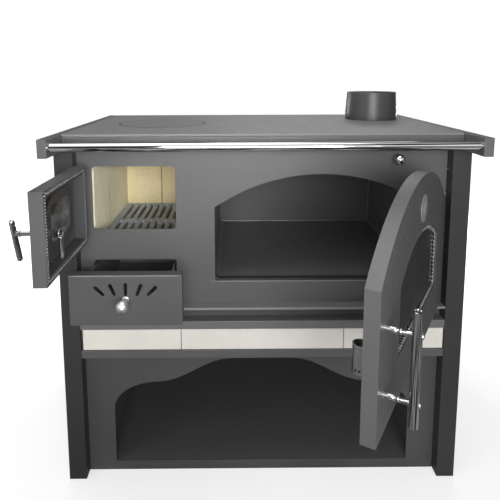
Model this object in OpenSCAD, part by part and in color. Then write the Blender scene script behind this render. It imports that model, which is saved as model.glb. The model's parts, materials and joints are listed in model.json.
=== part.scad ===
// Wood-burning cook stove with an oven, a wood niche and a towel bar.
// X runs to the right, Y to the back and Z up. The origin is on the floor, at the middle of the
// width, in the mid plane of the front panel. Both doors and the ash drawer are drawn open.

/* [Body] */
// Width over the two side panels
body_w = 950; // [900:5:1100]
// Depth from the front of the columns to the back panel
body_d = 532; // [500:2:620]
// Height from the floor to the top of the hob
body_h = 858; // [845:1:900]
// Thickness of the side and back sheets
skin_t = 2; // [1.5:0.1:2.5]
// Width of the folded column at each side of the front
column_w = 42.4; // [38:0.2:50]
// Set-back of the front panel behind the columns
recess = 30; // [30:0.5:34]
// Thickness of the front panel
panel_t = 3; // [2.5:0.1:3.5]

/* [Hob] */
// Thickness of the hob plate
hob_t = 6; // [5:0.5:8]
// Radius of the cooking lid
lid_r = 117.4; // [90:0.2:125]
// Distance from the left column's inner face to the middle of the lid
lid_in = 170.6; // [150:0.2:200]
// Distance from the front edge of the hob to the middle of the lid
lid_y = 258; // [220:1:300]
// Width of the step that carries the lid
lid_step = 9; // [6:0.5:12]
// Gap round the lid
lid_gap = 0.8; // [0.5:0.1:1.5]

/* [Flue] */
// Radius of the flue spigot at its foot
flue_r = 74; // [60:0.5:80]
// Radius of the flue spigot at its mouth
flue_mouth_r = 70; // [56:0.5:73]
// Radius of the hole through the spigot
flue_bore_r = 64.5; // [48:0.5:67]
// Height of the spigot above the hob
flue_h = 80; // [60:1:120]
// Height of the straight foot of the spigot
flue_foot_h = 20; // [12:1:40]
// Distance from the right column's inner face to the flue axis
flue_in = 89.6; // [84:0.2:102]
// Distance from the front edge of the hob to the flue axis
flue_y = 369; // [350:1:400]

/* [Rails] */
// Width of the side rail tube
rail_w = 20; // [16:1:24]
// Height of the side rail tube
rail_h = 40; // [34:1:44]
// Length of the rail ahead of the columns
rail_reach = 92.6; // [85:0.2:110]
// Radius of the towel bar
bar_r = 9.5; // [7:0.5:11]
// Distance of the towel bar ahead of the columns
bar_reach = 78; // [68:1:82]
// Depth of the towel bar axis below the hob top
bar_drop = 18.5; // [16:0.5:20]

/* [Tile band] */
// Thickness of the hearth plate, whose front edge is the ledge
hearth_t = 5.6; // [4:0.2:7]
// Distance from the hob's top down to the top of the hearth plate
hearth_drop = 413.7; // [410:0.1:420]
// Height of the upper tile rail
rail_band_h = 20; // [16:0.5:22]
// Distance from the hearth plate down to the upper tile rail
band_drop = 33.3; // [29:0.1:36]
// Height of a tile
tile_h = 51.5; // [48:0.5:56]
// Thickness of a tile
tile_t = 7; // [5:0.5:9]
// Gap between two tiles
tile_gap = 1.2; // [0.8:0.1:2]
// Width of the middle tile
tile_mid_w = 386; // [340:1:420]
// Set-back of the tiles behind the columns' front
tile_inset = 1.5; // [0.5:0.1:3]

/* [Wood niche] */
// Width of the panel between a column and the niche's mouth
niche_in = 67.6; // [50:0.2:80]
// Height of the sill under the mouth
niche_sill = 24; // [18:1:34]
// Height from the start of the mouth's rounded side to its top
niche_side_drop = 131; // [120:1:145]
// Height from the mouth's shoulder to its top
niche_shoulder_drop = 61; // [54:1:68]
// Height of the panel between the niche's mouth and the tiles
niche_head = 40; // [39:0.5:50]
// Width of the mouth's flat top
niche_top_w = 150; // [120:2:220]

/* [Firebox] */
// Width of the panel between the left column and the firebox mouth
fire_in = 33.6; // [32:0.2:36]
// Width of the panel between the firebox mouth and the oven mouth
wall_w = 91.5; // [91:0.5:105]
// Height of the firebox mouth above the hearth plate
fire_up = 183.7; // [178:0.1:190]
// Height of the firebox mouth
fire_h = 151; // [140:0.5:152]
// Corner radius of the mouth
fire_corner = 10; // [6:0.5:14]
// Depth of the firebox behind the front panel
fire_d = 376; // [340:1:385]
// Extra width of the firebox behind its mouth
fire_wide = 17; // [12:0.5:20]
// Thickness of a fireproof board
board_t = 25; // [20:1:28]
// Height of the grate above the hearth plate
grate_up = 148.7; // [144:0.1:153]
// Thickness of the grate
grate_t = 14; // [10:0.5:16]
// Distance from one grate slot to the next
grate_pitch = 20; // [18:0.5:24]

/* [Ash drawer] */
// Overlap of the drawer's front at each side of the firebox mouth
drawer_lap = 24.5; // [20:0.5:26]
// Height of the drawer front
drawer_h = 113; // [105:0.5:116]
// Depth of the folded drawer front
drawer_t = 26; // [20:0.5:28]
// Length that the drawer is drawn out
drawer_out = 93.5; // [60:0.5:160]
// Length of the ash pan
pan_d = 350; // [300:1:360]
// Height of the ash pan
pan_h = 88; // [70:1:95]
// Length of an air slot in the drawer front
slot_l = 22; // [16:0.5:26]
// Width of an air slot at its lower end
slot_w = 6.6; // [5:0.2:8]

/* [Oven] */
// Width of the panel between the oven mouth and the right column
oven_in = 40.1; // [39:0.1:44]
// Width of the oven mouth
oven_w = 505; // [495:0.5:508]
// Height of the oven mouth above the hearth plate
oven_up = 54.1; // [50:0.1:59]
// Height of the mouth's straight sides
oven_side_h = 181; // [170:0.5:184]
// Rise of the mouth's arch
oven_rise = 79.2; // [70:0.2:80]
// Depth of the oven behind the front panel
oven_d = 475; // [430:1:480]

/* [Firebox door] */
// Overlap of the firebox door on its latch side
fdoor_lap = 40; // [34:0.5:42]
// Height of the firebox door
fdoor_h = 177; // [172:0.5:180]
// Thickness of the firebox door
fdoor_t = 26; // [24:0.5:27]
// Angle that the firebox door stands open
fdoor_open = 90; // [60:1:110]
// Width of the firebox door at each side of its window
fwin_band = 69; // [64:0.5:75]
// Height of the firebox door's window
fwin_h = 78; // [60:1:90]
// Length of the cross bar on the firebox door's handle
tbar_l = 93; // [80:1:110]
// Radius of the cross bar
tbar_r = 5.5; // [4:0.5:7]

/* [Oven door] */
// Overlap of the oven door at each side of its mouth
odoor_lap = 27.25; // [24:0.25:28]
// Height of the oven door's shoulder above that of its mouth
odoor_side_lap = 13.8; // [8:0.2:14]
// Rise of the oven door's arch
odoor_rise = 114.4; // [105:0.2:118]
// Thickness of the oven door
odoor_t = 23.5; // [22:0.5:25]
// Angle that the oven door stands open
odoor_open = 58.5; // [30:0.1:90]
// Width of the oven door beside its window, both sides together
owin_band = 228.5; // [210:0.5:260]
// Height of the window's straight sides
owin_side_h = 119; // [100:1:130]
// Rise of the window's arch
owin_rise = 50; // [40:0.5:56]
// Length of the oven door's handle bar
hbar_l = 176; // [140:1:220]
// Radius of the handle bar
hbar_r = 7.5; // [5:0.5:9]
// Distance between the two handle posts
post_pitch = 104; // [80:1:130]
// Distance of the handle bar's axis from the door
hbar_off = 43.5; // [36:0.5:55]

/* [Damper] */
// Distance from the right column's inner face to the damper rod
damper_in = 119.1; // [103:0.1:127]
// Distance from the hob's top down to the damper rod
damper_drop = 62; // [58:1:68]
// Travel of the damper rod
damper_travel = 60; // [40:1:70]
// Radius of the damper rod
damper_rod_r = 3; // [2:0.5:4]
// Radius of a ball knob
knob_r = 13.4; // [10:0.2:14]

/* [Hidden] */
$fn = 64;

// Small working gaps
seat_gap = 0.3;
run_gap = 0.05;
cut = 1;

// Front panel, columns and back
panel_f = -panel_t / 2;
panel_b = panel_t / 2;
col_y = panel_f - recess;
back_y = col_y + body_d;
in_x = body_w / 2 - column_w;
in_w = 2 * in_x - 2 * seat_gap;
skin_x = body_w / 2 - skin_t;

// Hob and rails
hob_z = body_h - hob_t;
rail_z = body_h - rail_h;
hob_x = body_w / 2 - rail_w - seat_gap;
rail_wall = 2;
apron_t = 3;
apron_lip = recess + panel_t;
angle_leg = 20;
lid_seat_t = 3;
lid_c = [-in_x + lid_in, col_y + lid_y];
flue_c = [in_x - flue_in, col_y + flue_y];
bar_y = col_y - bar_reach;
bar_z = body_h - bar_drop;

// Heights of the front
tile_plane = col_y + tile_inset;
tile_back = tile_plane + tile_t;
hearth_z = body_h - hearth_drop;
rail_band_z = hearth_z - band_drop;
tile_top = rail_band_z - rail_band_h - 0.5;
tile_z = tile_top - tile_h;
strip_top = tile_z - 0.5;
base_z = hearth_z - hearth_t;
niche_w = 2 * (in_x - niche_in);
niche_top_z = tile_z - niche_head;
niche_side_z = niche_top_z - niche_side_drop;
niche_shoulder_z = niche_top_z - niche_shoulder_drop;
roof_z = niche_top_z + 13;

// Firebox
oven_x1 = in_x - oven_in;
oven_x0 = oven_x1 - oven_w;
oven_z0 = hearth_z + oven_up;
fire_x0 = -in_x + fire_in;
fire_w = oven_x0 - wall_w - fire_x0;
fire_z0 = hearth_z + fire_up;
grate_z = hearth_z + grate_up;
fire_in_w = fire_w + fire_wide;
fire_in_x0 = fire_x0;
fire_in_x1 = fire_in_x0 + fire_in_w;
fire_y0 = panel_b + 12;
fire_y1 = panel_b + fire_d;
shell_t = 3;
fire_right_z = body_h - 68;
seat_z = grate_z - grate_t;
seat_t = 3;
grate_x0 = fire_in_x0 + 2;
grate_x1 = fire_in_x1 - 6;

// Ash pan
ash_x0 = fire_x0 - 2;
ash_w = fire_w + 1.5;
ash_z0 = hearth_z + 8;
ash_top = hearth_z + 108.7;
ash_corner = 8;
drawer_w = fire_w + 2 * drawer_lap;
drawer_x0 = fire_x0 - drawer_lap;
drawer_z0 = hearth_z + 5.7;
drawer_back = panel_f - 0.5;
drawer_wall = 2;
pan_wall = 1.5;
pan_side_gap = 5;
pan_x0 = ash_x0 + pan_side_gap;
pan_x1 = ash_x0 + ash_w - pan_side_gap;
pan_z0 = drawer_z0 + drawer_wall + 2.5;
runner_w = 14;

// Oven
oven_cx = oven_x0 + oven_w / 2;
oven_arch_r = arch_radius(oven_w / 2, oven_rise);
oven_side_in = 10.5;
oven_floor_up = 5;
oven_wall = 2;
oven_head = 12;
oven_corner = 12;

// Firebox door, drawn closed and then swung open about its pin
fdoor_gap = 2;
fdoor_x0 = fire_x0 - 13;
fdoor_w = 13 + fire_w + fdoor_lap;
fwin_w = fdoor_w - 2 * fwin_band;
fdoor_z0 = fire_z0 - 17;
fdoor_y1 = panel_f - fdoor_gap;
fdoor_y0 = fdoor_y1 - fdoor_t;
fpin = [fdoor_x0 - 15, fdoor_y0 + 1];
fpin_r = 2.5;
knuckle_r = 5.2;
knuckle_h = 16;
door_sheet = 2;
seal_in = 2.6;
seal_w = 10.4;
seal_deep = 7;
seal_proud = 1.6;
channel_t = 2;
fwin_x = fdoor_x0 + fdoor_w / 2 - 13;
fwin_z = fdoor_z0 + fdoor_h / 2 + 1;
fwin_corner = 18;
frame_band = 20;
glass_t = 4;
latch_x = fdoor_x0 + fdoor_w - 50;
latch_z = fdoor_z0 + fdoor_h / 2 - 2.5;
latch_r = 5;
latch_y = panel_b + 5.5;
latch_reach = 50;
tongue_r = 3.5;
tbar_tilt = 17.7;
tbar_out = 50;
tbar_up = 0.32;

// Oven door, drawn closed and then swung open about its pin
odoor_w = oven_w + 2 * odoor_lap;
odoor_x1 = oven_x1 + odoor_lap;
odoor_x0 = oven_x0 - odoor_lap;
odoor_cx = oven_cx;
odoor_z0 = hearth_z + 10.7;
odoor_side_h = oven_z0 + oven_side_h + odoor_side_lap - odoor_z0;
odoor_gap = 2;
odoor_y1 = panel_f - odoor_gap;
odoor_y0 = odoor_y1 - odoor_t;
odoor_arch_r = arch_radius(odoor_w / 2, odoor_rise);
opin = [odoor_x1 - 5, odoor_y0 + 10.8];
opin_r = 2.5;
opin_foot_r = 4.5;
opin_deep = 14;
hinge_block = 14.3;
block_w = 17;
block_h = 14;
oseal_in = 12;
oseal_proud = 1.4;
owin_w = odoor_w - owin_band;
owin_shift = 7.25;
owin_up = 78;
owin_cx = odoor_cx + owin_shift;
owin_z0 = odoor_z0 + owin_up;
owin_arch_r = arch_radius(owin_w / 2, owin_rise);
rope_t = 4;
glass_lap = 12;
hbar_x = odoor_x0 + 33;
hbar_z = odoor_z0 + 120;
post_r = 4.6;
cap_drop = 63.5;
cap_r = 26;
cap_x = owin_cx;
cap_z = odoor_z0 + odoor_side_h + odoor_rise - cap_drop;

// Damper
damper_x = in_x - damper_in;
damper_z = body_h - damper_drop;
baffle_y = flue_c[1] - 122.5;
baffle_x0 = flue_c[0] - 153;
baffle_t = 2;
baffle_hole = [110, 52];
damper_plate = [126, 62];
knob_stem = 23;

paint = [0.33, 0.33, 0.34];
hob_paint = [0.42, 0.42, 0.43];
dark = [0.2, 0.2, 0.21];
cast = [0.28, 0.28, 0.29];
chrome = [0.82, 0.83, 0.85];
steel = [0.6, 0.61, 0.62];
cream = [0.86, 0.85, 0.78];
board = [0.8, 0.74, 0.58];
rope_grey = [0.62, 0.6, 0.56];
smoke_glass = [0.25, 0.26, 0.27];

// Radius of the arc that rises by rise over a chord of twice half_w
function arch_radius(half_w, rise) = (half_w * half_w + rise * rise) / (2 * rise);

// Box between two opposite corners
module span(x, y, z) {
    translate([x[0], y[0], z[0]]) cube([x[1] - x[0], y[1] - y[0], z[1] - z[0]]);
}

// Upright sheet: a profile in X and Z, extruded from y0 back to y1
module upright(y0, y1) {
    translate([0, y1, 0]) rotate([90, 0, 0]) linear_extrude(y1 - y0) children();
}

// Rectangle with round corners, drawn from true arcs
module round_rect(x0, x1, z0, z1, r) {
    translate([x0 + r, z0]) square([x1 - x0 - 2 * r, z1 - z0]);
    translate([x0, z0 + r]) square([x1 - x0, z1 - z0 - 2 * r]);
    for (x = [x0 + r, x1 - r], z = [z0 + r, z1 - r]) translate([x, z]) circle(r);
}

// Outline with straight sides and an arched top, drawn inset by e on all sides
module arch_shape(cx, half_w, z0, side_h, arc_r, e = 0) {
    rise = arc_r - sqrt(arc_r * arc_r - half_w * half_w);
    centre_z = z0 + side_h + rise - arc_r;
    in_half = half_w - e;
    in_r = arc_r - e;
    in_side = centre_z + sqrt(in_r * in_r - in_half * in_half);
    translate([cx - in_half, z0 + e]) square([2 * in_half, in_side - z0 - e]);
    intersection() {
        translate([cx, centre_z]) circle(in_r, $fn = 360);
        translate([cx - in_half, in_side - cut]) square([2 * in_half, arc_r]);
    }
}

// Children turned about an upright pin
module swing(pin, angle) {
    translate([pin[0], pin[1], 0]) rotate([0, 0, angle]) translate([-pin[0], -pin[1], 0]) children();
}

// Round bar along Y, from y0 back to y1
module bar_y(r, x, z, y0, y1) {
    translate([x, y1, z]) rotate([90, 0, 0]) cylinder(r = r, h = y1 - y0);
}

// Side panel of folded sheet: outer skin, column, inner return and top flange
module side_panel() {
    color(paint) {
        span([skin_x, body_w / 2], [col_y, back_y], [0, rail_z]);
        span([in_x, body_w / 2], [col_y, col_y + skin_t], [0, rail_z]);
        span([in_x, in_x + skin_t], [col_y, panel_b + 12], [0, rail_z]);
        span([skin_x - 24, body_w / 2], [col_y, back_y], [rail_z - skin_t, rail_z]);
    }
}

module left_side_panel() {
    mirror([1, 0, 0]) side_panel();
}

module right_side_panel() {
    side_panel();
}

module back_panel() {
    inner = skin_x - seat_gap;
    color(paint) difference() {
        union() {
            span([-inner, inner], [back_y - skin_t, back_y], [0, rail_z - skin_t - seat_gap]);
            span([-hob_x, hob_x], [back_y - skin_t, back_y], [rail_z - cut - skin_t, hob_z]);
            span([-hob_x, hob_x], [back_y - angle_leg, back_y], [hob_z - skin_t, hob_z]);
        }
        for (side = [-1, 1]) {
            span([side * (inner - 12) - 13, side * (inner - 12) + 13],
                 [back_y - angle_leg - cut, back_y + cut], [rail_z - skin_t - seat_gap, rail_z + seat_gap]);
        }
    }
}

// Upper front panel with the mouths of the firebox, the ash drawer and the oven
module front_panel() {
    color(paint) difference() {
        span([-in_w / 2, in_w / 2], [panel_f, panel_b], [hearth_z, rail_z]);
        upright(panel_f - cut, panel_b + cut) {
            round_rect(fire_x0, fire_x0 + fire_w, fire_z0, fire_z0 + fire_h, fire_corner);
            round_rect(ash_x0, ash_x0 + ash_w, ash_z0, ash_top, ash_corner);
            arch_shape(oven_cx, oven_w / 2, oven_z0, oven_side_h, oven_arch_r);
        }
        bar_y(damper_rod_r + run_gap, damper_x, damper_z, panel_f - cut, panel_b + cut);
    }
}

// Half of the niche's mouth: side, shoulder and curved rise to the flat top
module niche_mouth() {
    half = niche_w / 2;
    flat = niche_top_w / 2;
    shoulder_x = half * 0.7;
    rise = niche_top_z - niche_shoulder_z;
    run = shoulder_x - flat;
    corner = half - shoulder_x;
    steps = 8;
    for (side = [-1, 1]) scale([side, 1]) polygon(concat(
        [[0, niche_sill], [half, niche_sill]],
        [for (i = [0:steps]) [shoulder_x + corner * cos(90 * i / steps),
                              niche_side_z + (niche_shoulder_z - niche_side_z) * sin(90 * i / steps)]],
        [for (i = [1:steps]) [shoulder_x - run * i / steps,
                              niche_shoulder_z + rise * (1 - cos(180 * i / steps)) / 2]],
        [[0, niche_top_z]]));
}

// Lower front panel with the mouth of the wood niche and a folded foot
module lower_front_panel() {
    color(paint) {
        difference() {
            span([-in_w / 2, in_w / 2], [panel_f, panel_b], [0, base_z]);
            upright(panel_f - cut, panel_b + cut) niche_mouth();
        }
        span([-in_w / 2, in_w / 2], [panel_f, panel_b + 20], [0, skin_t]);
    }
}

// Plate behind the tiles, between their two rails
module tile_backing() {
    color(dark) span([-in_w / 2, in_w / 2], [tile_back, tile_back + skin_t],
                     [strip_top, rail_band_z - rail_band_h]);
}

// Plate under the firebox and the oven, whose front edge shows as a ledge
module hearth_plate() {
    color(paint) {
        span([-in_w / 2, in_w / 2], [col_y, back_y - skin_t - seat_gap], [base_z, hearth_z]);
    }
}

module niche_floor() {
    color(dark) {
        x = skin_x - seat_gap;
        span([-x, x], [panel_b + 12 + seat_gap, back_y - skin_t - seat_gap],
             [niche_sill - skin_t, niche_sill]);
        span([-in_w / 2, in_w / 2], [panel_b, panel_b + 13], [niche_sill - skin_t, niche_sill]);
    }
}

module niche_top() {
    color(dark) {
        x = skin_x - seat_gap;
        span([-x, x], [panel_b + 12 + seat_gap, back_y - skin_t - seat_gap],
             [roof_z, roof_z + skin_t]);
        span([-in_w / 2, in_w / 2], [panel_b, panel_b + 13], [roof_z, roof_z + skin_t]);
    }
}

// Upright linings at both sides of the niche
module niche_walls() {
    color(dark) for (side = [-1, 1]) scale([side, 1, 1])
        span([niche_w / 2 + 22, niche_w / 2 + 24], [panel_b, back_y - skin_t - seat_gap],
             [niche_sill, roof_z]);
}

// Tube that frames the tiles, flush with the columns
module tile_rail(top) {
    z0 = top - rail_band_h;
    color(paint) difference() {
        span([-in_w / 2, in_w / 2], [col_y, panel_f], [z0, top]);
        span([-in_w / 2 - cut, in_w / 2 + cut], [col_y + skin_t, panel_f - skin_t],
             [z0 + skin_t, top - skin_t]);
    }
}

module upper_tile_rail() {
    tile_rail(rail_band_z);
}

module lower_tile_rail() {
    tile_rail(strip_top);
}

// Glazed tile between two heights of the band
module tile(x0, x1) {
    edge = 1;
    color(cream) {
        span([x0, x1], [tile_plane + edge, tile_back], [tile_z, tile_top]);
        span([x0 + edge, x1 - edge], [tile_plane, tile_back], [tile_z + edge, tile_top - edge]);
    }
}

module left_tile() {
    tile(-in_w / 2 + 4 * tile_gap, -tile_mid_w / 2 - tile_gap);
}

module middle_tile() {
    tile(-tile_mid_w / 2, tile_mid_w / 2);
}

module right_tile() {
    tile(tile_mid_w / 2 + tile_gap, in_w / 2 - tile_gap);
}

// Side rail: a rectangular tube with a closed front end
module side_rail() {
    x1 = body_w / 2;
    y0 = col_y - rail_reach;
    color(paint) difference() {
        span([x1 - rail_w, x1], [y0, back_y], [rail_z, body_h]);
        span([x1 - rail_w + rail_wall, x1 - rail_wall], [y0 + rail_wall, back_y + cut],
             [rail_z + rail_wall, body_h - rail_wall]);
    }
}

module left_rail() {
    mirror([1, 0, 0]) side_rail();
}

module right_rail() {
    side_rail();
}

module towel_bar() {
    half = body_w / 2 - rail_w;
    color(chrome) translate([-half, bar_y, bar_z]) rotate([0, 90, 0]) difference() {
        cylinder(r = bar_r, h = 2 * half);
        translate([0, 0, -cut]) cylinder(r = bar_r - 1.5, h = 30 + cut);
        translate([0, 0, 2 * half - 30]) cylinder(r = bar_r - 1.5, h = 30 + cut);
    }
}

// Front skirt of the hob, folded back under it
module hob_apron() {
    color(hob_paint) {
        span([-hob_x, hob_x], [col_y, col_y + apron_t], [rail_z, hob_z]);
        span([-hob_x, hob_x], [col_y, col_y + apron_lip], [rail_z, rail_z + apron_t]);
    }
}

// Angles on the rails that carry the hob
module hob_supports() {
    y0 = col_y + apron_lip + 4;
    y1 = back_y - angle_leg - 2;
    x1 = body_w / 2 - rail_w;
    color(dark) for (side = [-1, 1]) scale([side, 1, 1]) {
        span([x1 - angle_leg, x1], [y0, y1], [hob_z - skin_t, hob_z]);
        span([x1 - skin_t, x1], [y0, y1], [hob_z - angle_leg, hob_z]);
    }
}

module hob_plate() {
    color(hob_paint) difference() {
        span([-hob_x, hob_x], [col_y, back_y], [hob_z, body_h]);
        translate([lid_c[0], lid_c[1], hob_z - cut]) cylinder(r = lid_r - lid_step, h = hob_t + 2 * cut);
        translate([lid_c[0], lid_c[1], body_h - lid_seat_t]) cylinder(r = lid_r + lid_gap, h = hob_t);
        translate([flue_c[0], flue_c[1], hob_z - cut]) cylinder(r = flue_bore_r + 4, h = hob_t + 2 * cut);
    }
}

// Lid of the cooking hole, with a blind slot for the lifting hook
module ring_lid() {
    hook = 8;
    color(cast) translate([lid_c[0], lid_c[1], 0]) difference() {
        union() {
            translate([0, 0, body_h - lid_seat_t + seat_gap]) cylinder(r = lid_r, h = lid_seat_t - seat_gap);
            translate([0, 0, hob_z - 4]) cylinder(r = lid_r - lid_step - lid_gap, h = hob_t + 2);
        }
        translate([lid_r * 0.62, -hook / 2, body_h - 5]) cube([22, hook, 6]);
    }
}

// Cast spigot for the flue pipe, with a short neck that drops into the hob
module flue_collar() {
    neck = flue_bore_r + 3.6;
    color(cast) translate([flue_c[0], flue_c[1], 0]) difference() {
        union() {
            translate([0, 0, body_h]) cylinder(r = flue_r, h = flue_foot_h);
            translate([0, 0, body_h + flue_foot_h])
                cylinder(r1 = flue_r, r2 = flue_mouth_r, h = flue_h - flue_foot_h);
            translate([0, 0, hob_z - 5]) cylinder(r = neck, h = hob_t + 5 + cut);
        }
        translate([0, 0, hob_z - 6]) cylinder(r = flue_bore_r, h = flue_h + hob_t + 8);
    }
}

// Ring under the hob that holds the spigot's neck, with its four screws
module flue_ring() {
    color(steel) translate([flue_c[0], flue_c[1], 0]) {
        difference() {
            translate([0, 0, hob_z - 4]) cylinder(r = flue_r + 8, h = 4);
            translate([0, 0, hob_z - 5]) cylinder(r = flue_bore_r + 3.7, h = 6);
        }
        for (a = [45:90:315]) rotate([0, 0, a])
            translate([flue_r + 1, 0, hob_z - 8]) cylinder(r = 4, h = 5);
    }
}

// Steel casing of the firebox; its right wall stops short to let the smoke over the oven
module firebox_shell() {
    x0 = fire_in_x0 - board_t - shell_t;
    x1 = fire_in_x1 + board_t + shell_t;
    y1 = fire_y1 + board_t + shell_t;
    color(dark) {
        span([x0, x0 + shell_t], [panel_b, y1], [seat_z, hob_z - 3]);
        span([x0, x1], [y1 - shell_t, y1], [seat_z, hob_z - 3]);
        span([x1 - shell_t, x1], [panel_b, y1], [seat_z, fire_right_z]);
    }
}

// Pair of boards that line one wall, split at the joint
module left_boards() {
    joint = fire_y0 + (fire_y1 - fire_y0) * 0.4;
    x0 = fire_in_x0 - board_t;
    color(board) for (y = [[fire_y0, joint - 0.6], [joint + 0.6, fire_y1 + board_t]])
        span([x0, fire_in_x0], y, [grate_z - 4, hob_z - 8]);
}

module back_boards() {
    joint = (fire_in_x0 + fire_in_x1) / 2 + 2;
    color(board) for (x = [[fire_in_x0 + 0.5, joint - 0.8], [joint + 0.8, fire_in_x1 - 0.5]])
        span(x, [fire_y1, fire_y1 + board_t], [grate_z - 4, hob_z - 8]);
}

module right_boards() {
    joint = fire_y0 + (fire_y1 - fire_y0) * 0.4;
    x0 = fire_in_x1;
    color(board) for (y = [[fire_y0, joint - 0.6], [joint + 0.6, fire_y1 + board_t]])
        span([x0, x0 + board_t], y, [grate_z - 4, fire_right_z]);
}

// Cast grate with two rows of slots that run to the back
module grate() {
    y0 = fire_y0 + 4;
    y1 = fire_y1 - 3;
    bridge = 23;
    rim = 12;
    slot = grate_pitch * 0.42;
    row_d = (y1 - y0 - 2 * rim - bridge) / 2;
    count = floor((grate_x1 - grate_x0 - rim) / grate_pitch);
    start = (grate_x0 + grate_x1) / 2 - (count - 1) * grate_pitch / 2;
    color(cast) difference() {
        span([grate_x0, grate_x1], [y0, y1], [seat_z, grate_z]);
        for (i = [0:count - 1], row = [0, 1])
            translate([start + i * grate_pitch - slot / 2, y0 + rim + row * (row_d + bridge), seat_z - cut])
                cube([slot, row_d, grate_t + 2 * cut]);
    }
}

// Plate that carries the grate and the boards
module grate_seat() {
    x0 = fire_in_x0 - board_t;
    x1 = fire_in_x1 + board_t;
    y1 = fire_y1 + board_t;
    lap = 6;
    color(dark) difference() {
        span([x0, x1], [panel_b, y1], [seat_z - seat_t, seat_z]);
        span([grate_x0 + lap, grate_x1 - lap], [fire_y0 + 4 + lap, fire_y1 - 3 - lap],
             [seat_z - seat_t - cut, seat_z + cut]);
    }
    color(dark) for (x = [x0, x1 - board_t]) span([x, x + board_t], [fire_y0, y1], [seat_z, grate_z - 4]);
    color(dark) span([x0 + board_t, x1 - board_t], [fire_y1, y1], [seat_z, grate_z - 4]);
}

// Sheet walls and runners round the ash pan, between the hearth plate and the grate seat
module ash_housing() {
    x0 = ash_x0 - 4;
    x1 = ash_x0 + ash_w + 4;
    y1 = fire_y1 + 4;
    top = seat_z - seat_t;
    color(dark) {
        span([x0, x0 + skin_t], [panel_b, y1], [hearth_z, top]);
        span([x1 - skin_t, x1], [panel_b, y1], [hearth_z, top]);
        span([x0, x1], [y1 - skin_t, y1], [hearth_z, top]);
        for (x = [pan_x0 + 4, pan_x1 - 4 - runner_w])
            span([x, x + runner_w], [panel_b, y1], [hearth_z, pan_z0 - seat_gap]);
    }
}

// Oven muffle: five sheet walls and a flange behind the front panel
module oven_box() {
    x0 = oven_x0 - oven_wall;
    x1 = oven_x1 - oven_side_in + oven_wall;
    z0 = oven_z0 + oven_floor_up - oven_wall;
    z1 = oven_z0 + oven_side_h + oven_rise + oven_head + oven_wall;
    y1 = panel_b + oven_d + oven_wall;
    flange = 14;
    color(dark) {
        difference() {
            upright(panel_b, y1) round_rect(x0, x1, z0, z1, oven_corner + oven_wall);
            upright(panel_b - cut, y1 - oven_wall)
                round_rect(x0 + oven_wall, x1 - oven_wall, z0 + oven_wall, z1 - oven_wall, oven_corner);
        }
        difference() {
            upright(panel_b, panel_b + oven_wall)
                round_rect(x0 - flange, oven_x1 + flange, z0 - flange, z1 + flange, oven_corner);
            upright(panel_b - cut, panel_b + oven_wall + cut)
                round_rect(x0 + oven_wall, x1 - oven_wall, z0 + oven_wall, z1 - oven_wall, oven_corner);
        }
    }
}

// Plates that part the flue from the space above the oven, with the damper's hole
module smoke_baffle() {
    z0 = oven_z0 + oven_side_h + oven_rise + oven_head + oven_wall;
    z1 = hob_z - 9;
    x1 = skin_x - 26;
    hole_z = (z0 + z1) / 2 - baffle_hole[1] / 2;
    color(dark) {
        difference() {
            span([baffle_x0, x1], [baffle_y, baffle_y + baffle_t], [z0, z1]);
            span([damper_x - baffle_hole[0] / 2, damper_x + baffle_hole[0] / 2],
                 [baffle_y - cut, baffle_y + baffle_t + cut], [hole_z, hole_z + baffle_hole[1]]);
        }
        span([baffle_x0, baffle_x0 + baffle_t], [baffle_y, back_y - skin_t - 2], [z0, z1]);
    }
}

// Fixed knuckles of the firebox door's hinges, with their pins
module firebox_hinges() {
    color(paint) for (z = [fdoor_z0 + 8, fdoor_z0 + fdoor_h - 8 - 2 * knuckle_h])
        translate([fpin[0], fpin[1], z]) {
            cylinder(r = knuckle_r, h = knuckle_h - seat_gap);
            cylinder(r = fpin_r, h = 2 * knuckle_h - 1);
            translate([-1.5, 0, 0]) cube([3, panel_f - fpin[1], knuckle_h - seat_gap]);
        }
}

// Pins of the oven door: the lower one stands on the ledge, the upper one hangs from a bracket
module oven_hinges() {
    x = opin[0];
    y = opin[1];
    low = odoor_z0;
    high = odoor_z0 + odoor_side_h + 20.8;
    color(paint) {
        translate([x, y, hearth_z]) cylinder(r = opin_foot_r, h = low - hearth_z - seat_gap);
        translate([x, y, hearth_z]) cylinder(r = opin_r, h = low - hearth_z + opin_deep - 1);
        translate([x, y, hearth_z]) cylinder(r = opin_foot_r + 3, h = 3);
        span([x - 9, x + 9], [y - 5, panel_f], [high, high + 4]);
        span([x - 9, x + 9], [panel_f - 3, panel_f], [high, high + 22]);
        translate([x, y, high - opin_deep - 20.8]) cylinder(r = opin_r, h = opin_deep + 22);
    }
}

module panel_screws() {
    color(steel) for (side = [-1, 1]) scale([side, 1, 1])
        translate([in_x - 1.8, panel_f - 4.1, rail_z - 46.8]) rotate([0, 90, 0]) cylinder(r = 2.6, h = 1.8);
}

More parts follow.
